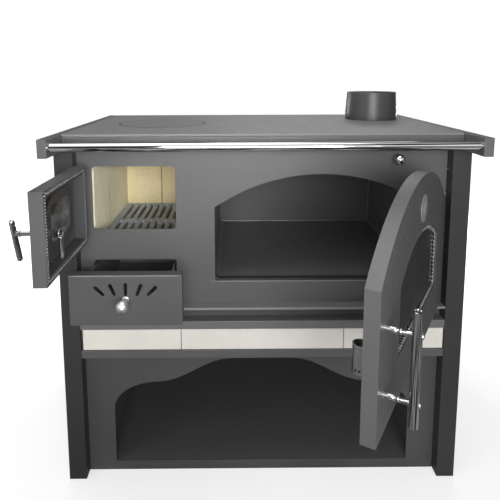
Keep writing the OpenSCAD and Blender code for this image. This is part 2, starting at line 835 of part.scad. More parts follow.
// Folded drawer front with five tapered air slots, laid out like a fan
module drawer_front() {
    cx = drawer_x0 + drawer_w / 2;
    x1 = drawer_x0 + drawer_w;
    z1 = drawer_z0 + drawer_h;
    y1 = drawer_back - drawer_out;
    y0 = y1 - drawer_t;
    foot = drawer_z0 + drawer_h * 0.62;
    flare = 0.8;
    color(paint) difference() {
        span([drawer_x0, x1], [y0, y1], [drawer_z0, z1]);
        span([drawer_x0 + drawer_wall, x1 - drawer_wall], [y0 + drawer_wall, y1 + cut],
             [drawer_z0 + drawer_wall, z1 - drawer_wall]);
        for (i = [-2:2]) translate([cx + i * 24.5, y0 + drawer_wall + cut, foot]) rotate([90, 0, 0])
            rotate([0, 0, -i * 22.5]) linear_extrude(drawer_wall + 2 * cut) hull() {
                circle(slot_w / 2);
                translate([0, slot_l]) circle(slot_w / 2 + flare);
            }
        bar_y(3, cx, drawer_z0 + drawer_h * 0.525, y0 - cut, y0 + drawer_wall + cut);
    }
}

// Open ash pan behind the drawer front, with a folded front flange
module drawer_pan() {
    x0 = pan_x0;
    x1 = pan_x1;
    y0 = drawer_back - drawer_out - drawer_t + drawer_wall;
    y1 = y0 + pan_d;
    z0 = pan_z0;
    color(dark) difference() {
        span([x0, x1], [y0, y1], [z0, z0 + pan_h]);
        span([x0 + pan_wall, x1 - pan_wall], [y0 + pan_wall, y1 - pan_wall],
             [z0 + pan_wall, z0 + pan_h + cut]);
        span([x0 + 14, x1 - 14], [y0 - cut, y0 + pan_wall + cut], [z0 + 40, z0 + pan_h + cut]);
        bar_y(3, (x0 + x1) / 2, drawer_z0 + drawer_h * 0.525, y0 - cut, y0 + pan_wall + cut);
    }
}

// Ball knob on a collared stem
module drawer_knob() {
    x = drawer_x0 + drawer_w / 2;
    z = drawer_z0 + drawer_h * 0.525;
    y1 = drawer_back - drawer_out - drawer_t;
    color(chrome) {
        translate([x, y1 - knob_stem - knob_r + 1, z]) sphere(knob_r);
        bar_y(3, x, z, y1 - knob_stem, y1 + drawer_wall + 4);
        bar_y(5, x, z, y1 - knob_stem, y1 - 4);
        bar_y(6.5, x, z, y1 - 4, y1);
    }
}

// Outline of the firebox door, inset by e
module fdoor_shape(e = 0) {
    translate([fdoor_x0 + e, fdoor_z0 + e]) square([fdoor_w - 2 * e, fdoor_h - 2 * e]);
}

// Window outline of the firebox door, grown by e
module fwin_shape(e = 0) {
    round_rect(fwin_x - fwin_w / 2 - e, fwin_x + fwin_w / 2 + e,
               fwin_z - fwin_h / 2 - e, fwin_z + fwin_h / 2 + e, fwin_corner + e);
}

// Tray-shaped door with its window, its handle hole and the moving hinge knuckles
module firebox_door_shell() {
    color(paint) swing(fpin, -fdoor_open) {
        difference() {
            upright(fdoor_y0, fdoor_y1) fdoor_shape();
            upright(fdoor_y0 + door_sheet, fdoor_y1 + cut) fdoor_shape(door_sheet);
            upright(fdoor_y0 - cut, fdoor_y1) fwin_shape();
            bar_y(latch_r + run_gap, latch_x, latch_z, fdoor_y0 - cut, fdoor_y1 + cut);
        }
        difference() {
            bar_y(latch_r + 4, latch_x, latch_z, fdoor_y0 + door_sheet, fdoor_y1 - 6);
            bar_y(latch_r + run_gap, latch_x, latch_z, fdoor_y0 - cut, fdoor_y1 + cut);
        }
        for (z = [fdoor_z0 + 8 + knuckle_h, fdoor_z0 + fdoor_h - 8 - knuckle_h])
            translate([fpin[0], fpin[1], z]) difference() {
                union() {
                    cylinder(r = knuckle_r, h = knuckle_h);
                    translate([0, -1, 0]) cube([fdoor_x0 - fpin[0] + door_sheet / 2, 4, knuckle_h]);
                }
                translate([0, 0, -cut]) cylinder(r = fpin_r + run_gap, h = knuckle_h + 2 * cut);
            }
    }
}

// Channel inside the door's rim that holds the rope
module firebox_door_channel() {
    floor_y = fdoor_y1 - seal_deep;
    wall = seal_in + seal_w;
    color(dark) swing(fpin, -fdoor_open) {
        difference() {
            upright(floor_y - channel_t, floor_y) fdoor_shape(door_sheet + 0.1);
            upright(floor_y - channel_t - cut, floor_y + cut) fdoor_shape(wall + channel_t);
        }
        difference() {
            upright(fdoor_y0 + door_sheet, fdoor_y1) fdoor_shape(wall);
            upright(fdoor_y0, fdoor_y1 + cut) fdoor_shape(wall + channel_t);
        }
    }
}

module firebox_door_rope() {
    color(rope_grey) swing(fpin, -fdoor_open) difference() {
        upright(fdoor_y1 - seal_deep, fdoor_y1 + seal_proud) fdoor_shape(seal_in);
        upright(fdoor_y1 - seal_deep - cut, fdoor_y1 + seal_proud + cut)
            fdoor_shape(seal_in + seal_w - 0.2);
    }
}

module firebox_door_glass() {
    y0 = fdoor_y0 + door_sheet;
    color(smoke_glass) swing(fpin, -fdoor_open) upright(y0, y0 + glass_t) fwin_shape(10);
}

// Frame that clamps the glass, with its four screws
module firebox_glass_frame() {
    y0 = fdoor_y0 + door_sheet + glass_t;
    r = 3;
    color(steel) swing(fpin, -fdoor_open) {
        difference() {
            upright(y0, y0 + 2) fwin_shape(frame_band);
            upright(y0 - cut, y0 + 2 + cut) fwin_shape();
        }
        for (x = [-1, 1], z = [-1, 1])
            bar_y(r, fwin_x + x * (fwin_w / 2 - 4), fwin_z + z * (fwin_h / 2 + 14.5),
                  fdoor_y0 + door_sheet, y0 + 4);
    }
}

// T-shaped handle: a shaft through the door and a leaning cross bar
module firebox_handle() {
    y_bar = fdoor_y0 - tbar_out;
    color(chrome) swing(fpin, -fdoor_open) {
        bar_y(latch_r, latch_x, latch_z, y_bar, fdoor_y1 + 1);
        bar_y(latch_r + 2.5, latch_x, latch_z, fdoor_y0 - 5, fdoor_y0 - seat_gap);
        translate([latch_x, y_bar, latch_z]) rotate([0, tbar_tilt, 0])
            translate([0, 0, -tbar_l * (1 - tbar_up)]) cylinder(r = tbar_r, h = tbar_l);
    }
}

// Tongue that turns behind the edge of the firebox mouth
module firebox_latch() {
    color(chrome) swing(fpin, -fdoor_open) {
        bar_y(latch_r, latch_x, latch_z, fdoor_y1 + 1, latch_y + 5);
        translate([latch_x, latch_y, latch_z]) rotate([0, 180, 0]) {
            cylinder(r = tongue_r, h = latch_reach - 4);
            translate([0, 0, latch_reach - 16]) cylinder(r = tongue_r + 0.4, h = 16);
        }
    }
}

// Outline of the oven door, inset by e
module odoor_shape(e = 0) {
    arch_shape(odoor_cx, odoor_w / 2, odoor_z0, odoor_side_h, odoor_arch_r, e);
}

// Window outline of the oven door, grown by e
module owin_shape(e = 0) {
    arch_shape(owin_cx, owin_w / 2, owin_z0, owin_side_h, owin_arch_r, -e);
}

// Arched tray with its window, the bores for the hinge pins and the handle's holes
module oven_door_shell() {
    high = odoor_z0 + odoor_side_h;
    color(paint) swing(opin, odoor_open) difference() {
        union() {
            difference() {
                upright(odoor_y0, odoor_y1) odoor_shape();
                upright(odoor_y0 + door_sheet, odoor_y1 + cut) odoor_shape(door_sheet);
                upright(odoor_y0 - cut, odoor_y1) owin_shape();
            }
            span([odoor_x1 - door_sheet - block_w, odoor_x1 - door_sheet + 0.5],
                 [odoor_y0 + door_sheet - 0.5, odoor_y0 + hinge_block],
                 [odoor_z0 + 1, odoor_z0 + opin_deep + 4]);
            span([odoor_x1 - door_sheet - block_w, odoor_x1 - door_sheet + 0.5],
                 [odoor_y0 + door_sheet - 0.5, odoor_y0 + hinge_block], [high - 2 - block_h, high - 2]);
        }
        translate([opin[0], opin[1], odoor_z0 - cut]) cylinder(r = opin_r + run_gap, h = opin_deep + cut);
        translate([opin[0], opin[1], high - block_h - 4])
            cylinder(r = opin_r + run_gap, h = 2 * (block_h + 4));
    }
}

// Inner plate of the oven door, folded to a channel for the rope
module oven_door_liner() {
    floor_y = odoor_y1 - seal_deep;
    wall = oseal_in + seal_w;
    color(dark) swing(opin, odoor_open) {
        difference() {
            upright(floor_y - channel_t, floor_y) odoor_shape(door_sheet + 0.1);
            upright(floor_y - channel_t - cut, floor_y + cut) owin_shape(8);
        }
        difference() {
            upright(floor_y - cut, odoor_y1) odoor_shape(wall);
            upright(floor_y - 2 * cut, odoor_y1 + cut) odoor_shape(wall + channel_t);
        }
    }
}

module oven_door_rope() {
    color(rope_grey) swing(opin, odoor_open) difference() {
        upright(odoor_y1 - seal_deep, odoor_y1 + oseal_proud) odoor_shape(oseal_in);
        upright(odoor_y1 - seal_deep - cut, odoor_y1 + oseal_proud + cut)
            odoor_shape(oseal_in + seal_w - 0.2);
    }
}

// Rope between the door sheet and the glass
module oven_glass_rope() {
    y0 = odoor_y0 + door_sheet;
    color(rope_grey) swing(opin, odoor_open) difference() {
        upright(y0, y0 + rope_t) owin_shape(5);
        upright(y0 - cut, y0 + rope_t + cut) owin_shape(-3);
    }
}

module oven_door_glass() {
    y0 = odoor_y0 + door_sheet + rope_t;
    color(smoke_glass) swing(opin, odoor_open) upright(y0, y0 + glass_t) owin_shape(6);
}

// Clips that press the glass on its rope
module oven_glass_clips() {
    y0 = odoor_y0 + door_sheet;
    y_clip = y0 + rope_t + glass_t;
    half = owin_w / 2;
    zs = [owin_z0 + 24, owin_z0 + owin_side_h - 16];
    color(steel) swing(opin, odoor_open) for (side = [-1, 1], z = zs) {
        x = owin_cx + side * (half + 11);
        span([x - (side > 0 ? 15 : 5), x + (side > 0 ? 5 : 15)], [y_clip, y_clip + 1.5], [z - 7, z + 7]);
        bar_y(3, x, z, y0, y_clip + 3.5);
    }
}

module oven_handle_bar() {
    color(chrome) swing(opin, odoor_open) difference() {
        translate([hbar_x, odoor_y0 - hbar_off, hbar_z - hbar_l / 2]) cylinder(r = hbar_r, h = hbar_l);
        for (z = [hbar_z - post_pitch / 2, hbar_z + post_pitch / 2])
            bar_y(2.6, hbar_x, z, odoor_y0 - hbar_off - hbar_r - cut, odoor_y0 - hbar_off + hbar_r + cut);
    }
}

// Turned posts with a groove, between the door and the bar
module oven_handle_posts() {
    y0 = odoor_y0 - hbar_off + hbar_r - 0.8;
    mid = (y0 + odoor_y0) / 2;
    color(chrome) swing(opin, odoor_open)
        for (z = [hbar_z - post_pitch / 2, hbar_z + post_pitch / 2]) difference() {
            union() {
                bar_y(post_r, hbar_x, z, mid + 1.5, odoor_y0);
                bar_y(post_r - 1.2, hbar_x, z, mid - 1.5, mid + 1.5);
                bar_y(post_r, hbar_x, z, y0, mid - 1.5);
            }
            translate([hbar_x, odoor_y0 - hbar_off, z - 20]) cylinder(r = hbar_r, h = 40);
        }
}

module oven_handle_screws() {
    y0 = odoor_y0 - hbar_off - hbar_r;
    color(chrome) swing(opin, odoor_open)
        for (z = [hbar_z - post_pitch / 2, hbar_z + post_pitch / 2]) {
            bar_y(4.2, hbar_x, z, y0 - 2.5, y0);
            bar_y(2.5, hbar_x, z, y0 - 1, odoor_y0 - hbar_off + hbar_r - 1);
        }
}

// Bent spring sheet that snaps behind the edge of the oven mouth
module oven_door_catch() {
    r = 13;
    sheet = 1.5;
    x = oven_x0 + 4.5 + r;
    y = odoor_y1 + 15.5;
    z0 = odoor_z0 + 85;
    color(steel) swing(opin, odoor_open) {
        difference() {
            translate([x, y, z0]) cylinder(r = r, h = 46);
            translate([x, y, z0 - cut]) cylinder(r = r - sheet, h = 48);
            span([x, x + 2 * r], [y - 2 * r, y], [z0 - cut, z0 + 48]);
        }
        span([x - r, x - r + sheet], [odoor_y1 - seal_deep, y], [z0, z0 + 46]);
        span([x - r, x - r + 18], [odoor_y1 - seal_deep, odoor_y1 - seal_deep + sheet], [z0, z0 + 46]);
    }
}

// Plain domed cap on the oven door, above the window
module oven_door_cap() {
    color(chrome) swing(opin, odoor_open) translate([cap_x, odoor_y0, cap_z]) rotate([90, 0, 0]) {
        cylinder(r = cap_r, h = 1.5);
        translate([0, 0, 1.5]) cylinder(r1 = cap_r * 0.5, r2 = cap_r * 0.35, h = 2);
    }
}

// Damper rod with the plate that closes the short way to the flue
module damper_rod() {
    y1 = baffle_y + baffle_t + 0.4 + damper_travel;
    z0 = oven_z0 + oven_side_h + oven_rise + oven_head + oven_wall;
    mid_z = (z0 + hob_z - 9) / 2;
    color(steel) {
        bar_y(damper_rod_r, damper_x, damper_z, panel_f - 6, y1 + 2);
        span([damper_x - damper_plate[0] / 2, damper_x + damper_plate[0] / 2], [y1, y1 + 2],
             [mid_z - damper_plate[1] / 2, mid_z + damper_plate[1] / 2]);
    }
}

module damper_knob() {
    r = knob_r - 1.4;
    color(chrome) {
        translate([damper_x, panel_f - 10 - r, damper_z]) sphere(r);
        bar_y(5, damper_x, damper_z, panel_f - 12, panel_f - 6);
    }
}

left_side_panel();
right_side_panel();
back_panel();
front_panel();
lower_front_panel();
tile_backing();
hearth_plate();
niche_floor();
niche_top();
niche_walls();
upper_tile_rail();
lower_tile_rail();
left_tile();
middle_tile();
right_tile();
left_rail();
right_rail();
towel_bar();
hob_apron();
hob_supports();
hob_plate();
flue_collar();
flue_ring();
firebox_shell();
left_boards();
back_boards();
right_boards();
grate();
grate_seat();
ash_housing();
oven_box();
smoke_baffle();
firebox_hinges();
oven_hinges();
panel_screws();
drawer_front();
drawer_pan();
drawer_knob();
firebox_door_shell();
firebox_door_channel();
firebox_door_rope();
firebox_door_glass();
firebox_glass_frame();
firebox_handle();
firebox_latch();
oven_door_shell();
oven_door_liner();
oven_door_rope();
oven_door_glass();
oven_glass_rope();
oven_glass_clips();
oven_handle_bar();
oven_handle_posts();
oven_handle_screws();
oven_door_catch();
oven_door_cap();
ring_lid();
damper_rod();
damper_knob();
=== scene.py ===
import json
from math import asin, cos, pi, radians, sin, sqrt

import bpy
from mathutils import Matrix, Vector


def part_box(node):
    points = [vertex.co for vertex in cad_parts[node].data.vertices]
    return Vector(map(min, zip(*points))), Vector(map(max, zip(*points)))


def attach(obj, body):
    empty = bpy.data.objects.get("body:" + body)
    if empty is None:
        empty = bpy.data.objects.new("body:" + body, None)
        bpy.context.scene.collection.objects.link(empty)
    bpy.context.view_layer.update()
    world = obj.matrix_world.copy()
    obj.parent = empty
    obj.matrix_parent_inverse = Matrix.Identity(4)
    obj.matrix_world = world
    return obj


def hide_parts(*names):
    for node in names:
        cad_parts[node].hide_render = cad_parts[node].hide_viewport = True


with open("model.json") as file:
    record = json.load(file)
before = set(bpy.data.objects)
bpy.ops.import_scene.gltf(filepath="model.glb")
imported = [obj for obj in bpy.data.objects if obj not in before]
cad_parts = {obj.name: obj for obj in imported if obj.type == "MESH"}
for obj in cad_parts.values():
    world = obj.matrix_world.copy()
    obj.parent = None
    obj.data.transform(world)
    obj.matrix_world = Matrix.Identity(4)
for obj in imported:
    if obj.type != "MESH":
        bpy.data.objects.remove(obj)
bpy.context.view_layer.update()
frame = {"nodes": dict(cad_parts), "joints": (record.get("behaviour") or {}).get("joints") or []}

# Wood-burning cook stove: materials, soft edges and small parts round the fixed frame.
# Lengths are in metres, in the frame's own axes: x to the right, y to the back, z up.
# At rest the doors stand open and the ash drawer is drawn out, as in the photograph.

MM = 0.001
nodes = frame["nodes"]
joints = {j["name"]: j for j in frame["joints"]}

FRONT = (0, -1, 0)
BACK = (0, 1, 0)
RIGHT = (1, 0, 0)
UP = (0, 0, 1)
DOWN = (0, 0, -1)
UNTURNED = Matrix.Identity(4)

# Camera, in the photograph's place, with its lens. Its turns are in radians.
CAM_PLACE = (-68.16 * MM, -1140.45 * MM, 989.88 * MM)
CAM_SENSOR = 36.0
CAM_LENS = 35.72
CAM_YAW = -0.0055
CAM_ROLL = 0.0035
CAM_PITCH = -radians(7.5)
CAM_SHIFT = (0.0285, -0.22)

# Lamps: place, aim, size, watts, and spread in degrees
LAMPS = {
    "front": ((0.05, -2.1, 1.0), (-0.1, 0, 0.62), (1.1, 0.8), 36, 180),
    "firebox": ((0.45, -1.3, 0.95), (-0.38, 0.1, 0.68), (0.3, 0.3), 0.3, 30),
    "side": ((-2.2, -1.6, 2.0), (0, 0, 0.5), (1.2, 1.6), 12, 180),
    "top": ((-0.4, 0.1, 3.0), (0, 0.2, 0.5), (2.2, 2.2), 31, 180),
    "back": ((0.6, 2.8, 2.4), (0, 0.4, 0.5), (1.8, 1.2), 12, 180),
    "rear_left": ((-1.5, 2.4, 0.5), (-0.2, 0.4, 0.45), (0.9, 0.6), 24, 180),
    "rear_right": ((1.5, 2.4, 0.5), (0.2, 0.4, 0.45), (0.9, 0.6), 24, 180),
}

# Floor: its own light for the camera grows from the first strength to the second between two
# distances from the middle. Metal mirrors it at a strength of its own.
FLOOR_SIZE = 12.0
FLOOR_GREY = 0.5
FLOOR_GLOW = (0.56, 1.0)
FLOOR_GLOW_REACH = (0.7, 2.2)
FLOOR_MIRRORED = 0.55

# What metal mirrors: noise at a scale, turned into dark and light patches by two stops. Between
# two places in y it fades to a dark grey, towards the back.
PATCH_STOPS = ((0.475, 0.02), (0.54, 0.95))
PATCH_BACK = 0.12
FLOOR_PATCH_SCALE = 3.0
FLOOR_PATCH_FADE = (-0.2, 0.2)
ROOM_PATCH_SCALE = 2.2
ROOM_PATCH_FADE = (-0.1, 0.35)
ROOM_LIGHT = 0.3

# Door angles at rest, from closed
FIREBOX_OPEN = -radians(90)
OVEN_OPEN = radians(58.5)

# Rises of the arches of the oven door and of its window
OVEN_DOOR_RISE = 114.4 * MM
OVEN_WINDOW_RISE = 50 * MM

# Ropes: half widths, the length of one braid, and how far the oven door's rope lies inside the
# door's outline. The window rope's node laps over the window's outline, and the rope's middle
# lies inside it. A strand rises from the low share of the half width to all of it.
BRAID_LOW = 0.82
BRAID_RISE = 0.18
SEAL_HALF = 5.1 * MM
FIREBOX_PITCH = 6 * MM
OVEN_PITCH = 7 * MM
OVEN_SEAL_IN = 12 * MM
WINDOW_ROPE_HALF = 5 * MM
WINDOW_ROPE_LAP = 5 * MM
WINDOW_ROPE_IN = 3.5 * MM
WINDOW_PITCH = 9 * MM

# Firebox handle: the bar's length, tilt from upright and radius, how far its axis stands out of
# the door, and how far its lower end is from the stem. The latch's tongue hangs a little short of
# the shaft's inner end.
TEE_LENGTH = 93 * MM
TEE_TILT = radians(17.7)
TEE_RADIUS = 5.5 * MM
TEE_OUT = 50 * MM
TEE_LOW = 63.24 * MM
TONGUE_BACK = 5 * MM

# Spring catch: height of its rivets above its foot, and their places round it
RIVET_UP = 7 * MM
RIVET_TURNS = (radians(165), radians(190), radians(215))

# Oven box: its wall, the rounds of its corners, the depth of the flange round its mouth, the
# place in y where its painted shade starts, and the weld, which lies off the back wall
OVEN_WALL = 2 * MM
OVEN_CORNER = 12 * MM
OVEN_FLANGE = 10 * MM
OVEN_SHADE_FROM = 10 * MM
WELD_HALF = 1.1 * MM
WELD_PITCH = 3 * MM
WELD_OFF = 0.6 * MM

# Painted highlights and a sooty joint: width of an edge's painted highlight, half width of a sooty
# joint, height of the lower edge of the oven's mouth, and what each mark multiplies the coat by
EDGE_HIGHLIGHT_WIDTH = 2.2 * MM
JOINT_SOOT = 2.4 * MM
OVEN_MOUTH_LOW = 498.4 * MM
DRAWER_HIGHLIGHT_LIFT = 3.0
MOUTH_HIGHLIGHT_LIFT = 2.4
JOINT_SOOT_LIFT = 0.3

# Outlines of the turned parts: distance along the axis and radius, in mm
DRAWER_NECK = [(0, 0), (0, 7.2), (1.6, 7.2), (2.6, 6.2), (3, 5.2)]
DAMPER_NECK = [(0, 0), (0, 6.5), (2, 6.5), (2.4, 4.6)]
TEE_STEM = [
    (0, 0), (0, 7.5), (3.6, 7.5), (4.7, 6.6), (5, 5), (37, 5),
    (37.6, 6.2), (42, 6.2), (43, 5.1), (49, 5.1), (49, 0),
]
TEE_END = [
    (0, 0), (0.4, 2.6), (1.4, 4.3), (3, 5.3), (5, 5.5),
    (9, 5.5), (9.3, 5), (10.4, 5), (10.7, 5.5),
]
LATCH_SHAFT = [(0, 0), (0, 9), (1.5, 9), (1.6, 5), (13.7, 5), (14.5, 4.2), (14.5, 0)]
LATCH_NUT = [(1.5, 0), (1.5, 7.2), (2, 8), (6.5, 8), (7, 7.2), (7, 0)]
LATCH_TONGUE = [
    (0, 0), (0, 3.6), (7, 3.6), (7.6, 4.7), (29, 4.7), (29.5, 3.7),
    (32, 3.7), (32.6, 4.9), (43, 4.9), (46.5, 4.3), (49, 2.6), (50, 0),
]
OVEN_BAR_END = [(1.8, 0), (1.8, 5.2), (0.2, 5.6), (0, 6.6)]
OVEN_BAR_LIP = 0.8
OVEN_POST = [
    (0, 0), (0, 5.8), (1.2, 5.8), (1.8, 4.6), (15, 4.6), (16.2, 4.1), (17, 3.3), (18.6, 3.3),
    (19.2, 4), (20.4, 4.7), (22, 4.7), (23.2, 4), (23.8, 3.5), (25.5, 3.9), (38, 4.1), (38, 0),
]
SCREW_HEAD = [(0, 0), (0.1, 1.6), (0.5, 2.8), (1.2, 3.7), (2.1, 4.2), (3, 4.2), (3, 0)]
RIVET = [(0, 0), (0, 1.9), (0.5, 1.9), (1, 1.4), (1.2, 0)]

# Fineness of round shapes
TURNED_SIDES = 40
NUT_SIDES = 6
RIVET_SIDES = 16
ROPE_SIDES = 12
WELD_SIDES = 6
BALL_STEPS = 18
CORNER_STEPS = 8
ARCH_STEPS = 60
SHARP_OVER = radians(38)
TURNED_WELD = 0.001 * MM


# Building blocks of materials


def link(owner, start, end):
    owner.node_tree.links.new(start, end)


def add(owner, kind, **values):
    """A node in the tree of a material or the world, with its sockets and settings by name."""
    node = owner.node_tree.nodes.new(kind)
    for key, value in values.items():
        if key in node.inputs:
            node.inputs[key].default_value = value
        else:
            setattr(node, key, value)
    return node


def shader_of(mat):
    return mat.node_tree.nodes["Principled BSDF"]


def material(name, colour, rough, metal=0.0, **sockets):
    mat = bpy.data.materials.new(name)
    mat.use_nodes = True
    shader = shader_of(mat)
    shader.inputs["Base Color"].default_value = (*colour, 1)
    shader.inputs["Roughness"].default_value = rough
    shader.inputs["Metallic"].default_value = metal
    for key, value in sockets.items():
        shader.inputs[key.replace("_", " ")].default_value = value
    mat.diffuse_color = (*colour, 1)
    return mat


def into(mat, value, socket):
    """Links a value to a socket of the material's shader."""
    link(mat, value, shader_of(mat).inputs[socket])


def grey(level, tint=(1, 1, 1)):
    return tuple(level * t for t in tint)


def place(mat, stretch=(1, 1, 1)):
    """Object coordinates, stretched along an axis where the grain runs that way."""
    coords = add(mat, "ShaderNodeTexCoord")
    mapping = add(mat, "ShaderNodeMapping", Scale=stretch)
    link(mat, coords.outputs["Object"], mapping.inputs["Vector"])
    return mapping.outputs["Vector"]


def noise(mat, scale, detail, stretch=(1, 1, 1)):
    tex = add(mat, "ShaderNodeTexNoise", Scale=scale, Detail=detail)
    link(mat, place(mat, stretch), tex.inputs["Vector"])
    return tex.outputs["Fac"]


def cells(mat, scale):
    tex = add(mat, "ShaderNodeTexVoronoi", Scale=scale)
    link(mat, place(mat), tex.inputs["Vector"])
    return tex.outputs["Distance"]


def ramp(owner, value, *stops):
    """A colour for each value, between stops of (value, colour)."""
    node = add(owner, "ShaderNodeValToRGB")
    line = node.color_ramp
    while len(line.elements) < len(stops):
        line.elements.new(0.5)
    for element, (at, colour) in zip(line.elements, stops):
        element.position = at
        element.color = (*colour, 1)
    link(owner, value, node.inputs["Fac"])
    return node.outputs["Color"]


def spread(owner, value, low, high, at=(0.3, 0.7)):
    """A value mapped from the range at to the range from low to high."""
    node = add(owner, "ShaderNodeMapRange")
    for key, number in zip(("From Min", "From Max", "To Min", "To Max"), (*at, low, high)):
        node.inputs[key].default_value = number
    link(owner, value, node.inputs["Value"])
    return node.outputs["Result"]


def blend(mat, first, second, part, mode="MIX"):
    node = add(mat, "ShaderNodeMix", data_type="RGBA", blend_type=mode)
    node.inputs["Factor"].default_value = part
    link(mat, first, node.inputs["A"])
    link(mat, second, node.inputs["B"])
    return node.outputs["Result"]


def product(mat, first, second):
    return blend(mat, first, second, 1.0, "MULTIPLY")


def darken(mat, part):
    """Multiplies the base colour by a grey."""
    coat = shader_of(mat).inputs["Base Color"].links[0].from_socket
    into(mat, product(mat, coat, part), "Base Color")


def bump(mat, value, height, strength):
    node = add(mat, "ShaderNodeBump", Strength=strength, Distance=height)
    link(mat, value, node.inputs["Height"])
    into(mat, node.outputs["Normal"], "Normal")


def vector_math(mat, operation, vector, other=None):
    """A sum of a vector alone, or of it and another."""
    node = add(mat, "ShaderNodeVectorMath", operation=operation)
    link(mat, vector, node.inputs[0])
    if other is not None:
        node.inputs[1].default_value = other
    return node


def axes(owner, vector):
    """The X, Y and Z outputs of a vector."""
    split = add(owner, "ShaderNodeSeparateXYZ")
    link(owner, vector, split.inputs[0])
    return split.outputs


# Kinds of material


def paint(name, level, rough, metal):
    """Satin stove paint: fine metal flakes in a slightly cool grey coat."""
    cool = (1.0, 1.0, 1.02)
    mat = material(name, grey(level, cool), rough, metal)
    bright, dull = grey(level * 1.12, cool), grey(level * 0.9, cool)
    flakes = ramp(mat, cells(mat, scale=1500), (0.1, bright), (0.7, dull))
    cloud = ramp(mat, noise(mat, scale=5, detail=2), (0.3, grey(0.94)), (0.7, grey(1.0)))
    into(mat, product(mat, flakes, cloud), "Base Color")
    into(mat, spread(mat, noise(mat, scale=40, detail=4), rough - 0.04, rough + 0.05), "Roughness")
    bump(mat, noise(mat, scale=900, detail=3), height=0.05 * MM, strength=0.25)
    return mat


def bare_metal(name, level, rough, grain=(1, 1, 1)):
    """Chrome, brushed or rolled steel, with its marks along one axis."""
    mat = material(name, grey(level), rough, 1.0)
    marks = noise(mat, scale=60, detail=2, stretch=grain)
    into(mat, ramp(mat, marks, (0.3, grey(level * 0.97)), (0.7, grey(level))), "Base Color")
    into(mat, spread(mat, marks, rough * 0.96, rough * 1.04), "Roughness")
    return mat


def spun_steel(name, level):
    """Painted tube with faint rings from rolling."""
    mat = material(name, grey(level), 0.4, 0.3)
    rings = noise(mat, scale=6, detail=4, stretch=(1, 1, 60))
    into(mat, ramp(mat, rings, (0.3, grey(level * 0.85)), (0.7, grey(level * 1.1))), "Base Color")
    into(mat, spread(mat, rings, 0.36, 0.44), "Roughness")
    bump(mat, rings, height=0.1 * MM, strength=0.3)
    return mat


def oven_enamel(name, level):
    """Satin enamel with painted shade: dark at its front edge, in the gap behind the front panel, and
    a little darker on its back wall.
    """
    mat = paint(name, level, rough=0.4, metal=0.2)
    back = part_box("oven_box")[1][1]
    depth = spread(mat, axes(mat, place(mat))["Y"], 0, 1, (OVEN_SHADE_FROM, back))
    # Painted shade: darkest at the front edge, and darker again on the back wall
    front_edge = ((0.0, grey(0.2)), (0.03, grey(1.0)))
    back_wall = ((0.975, grey(1.0)), (0.99, grey(0.52)))
    darken(mat, ramp(mat, depth, *front_edge, *back_wall))
    return mat


def lid_coat(name, level):
    """The hob's paint, with painted shade in a dark ring round the lid's rim, where the gap round the
    lid lies.
    """
    mat = paint(name, level, rough=0.5, metal=0.15)
    low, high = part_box("ring_lid")
    to_middle = (-(low[0] + high[0]) / 2, -(low[1] + high[1]) / 2, 0)
    radius = (high[0] - low[0]) / 2
    offset = vector_math(mat, "ADD", place(mat, (1, 1, 0)), to_middle).outputs["Vector"]
    reach = vector_math(mat, "LENGTH", offset).outputs["Value"]
    # Painted shade: a dark ring just inside the lid's rim
    rim = spread(mat, reach, 0, 1, (radius - 5 * MM, radius - 1.5 * MM))
    darken(mat, ramp(mat, rim, (0.2, grey(1.0)), (0.8, grey(0.12))))
    return mat


def cast_iron(name, level, tint):
    """Dark scale, rough to the touch, on cast iron."""
    mat = material(name, grey(level, tint), 0.62, 0.35)
    dark, pale = grey(level * 0.75, tint), grey(level * 1.3, tint)
    into(mat, ramp(mat, noise(mat, scale=60, detail=5), (0.3, dark), (0.75, pale)), "Base Color")
    into(mat, spread(mat, noise(mat, scale=25, detail=3), 0.52, 0.72), "Roughness")
    bump(mat, noise(mat, scale=420, detail=5), height=0.25 * MM, strength=0.5)
    return mat


def vermiculite(name, pale, dark):
    """Pressed flake board: cream flakes with brown and pale specks, and soot stains."""
    mat = material(name, pale, 0.95)
    flakes = ramp(mat, cells(mat, scale=300), (0.03, dark), (0.2, pale), (0.8, grey(1.05, pale)))
    specks = noise(mat, scale=180, detail=6)
    grain = ramp(mat, specks, (0.3, dark), (0.42, pale), (0.75, grey(1.08, pale)))
    stain = ramp(mat, noise(mat, scale=8, detail=4), (0.3, grey(0.86)), (0.6, grey(1.0)))
    into(mat, product(mat, blend(mat, flakes, grain, 0.6), stain), "Base Color")
    bump(mat, noise(mat, scale=260, detail=6), height=0.9 * MM, strength=0.8)
    return mat


def glaze(name, colour):
    """Glazed tile, a little cloudy and uneven."""
    mat = material(name, colour, 0.16, Coat_Weight=0.6, Coat_Roughness=0.06)
    cloud = noise(mat, scale=16, detail=5)
    into(mat, ramp(mat, cloud, (0.3, grey(0.95, colour)), (0.7, grey(1.03, colour))), "Base Color")
    into(mat, spread(mat, noise(mat, scale=90, detail=3), 0.12, 0.22), "Roughness")
    bump(mat, noise(mat, scale=55, detail=3), height=0.12 * MM, strength=0.2)
    return mat


def glass_rope(name, dark, pale):
    """Braided glass fibre: pale strands over a dark core, by the mesh's own braid value."""
    mat = material(name, grey(dark), 0.9)
    braid = add(mat, "ShaderNodeAttribute", attribute_name="braid").outputs["Fac"]
    strands = ramp(mat, braid, (0.5, grey(dark)), (0.66, grey(pale * 0.6)), (0.85, grey(pale)))
    soot = ramp(mat, noise(mat, scale=130, detail=4), (0.35, grey(0.45)), (0.6, grey(1.0)))
    into(mat, product(mat, strands, soot), "Base Color")
    bump(mat, noise(mat, scale=700, detail=4), height=0.5 * MM, strength=0.9)
    return mat


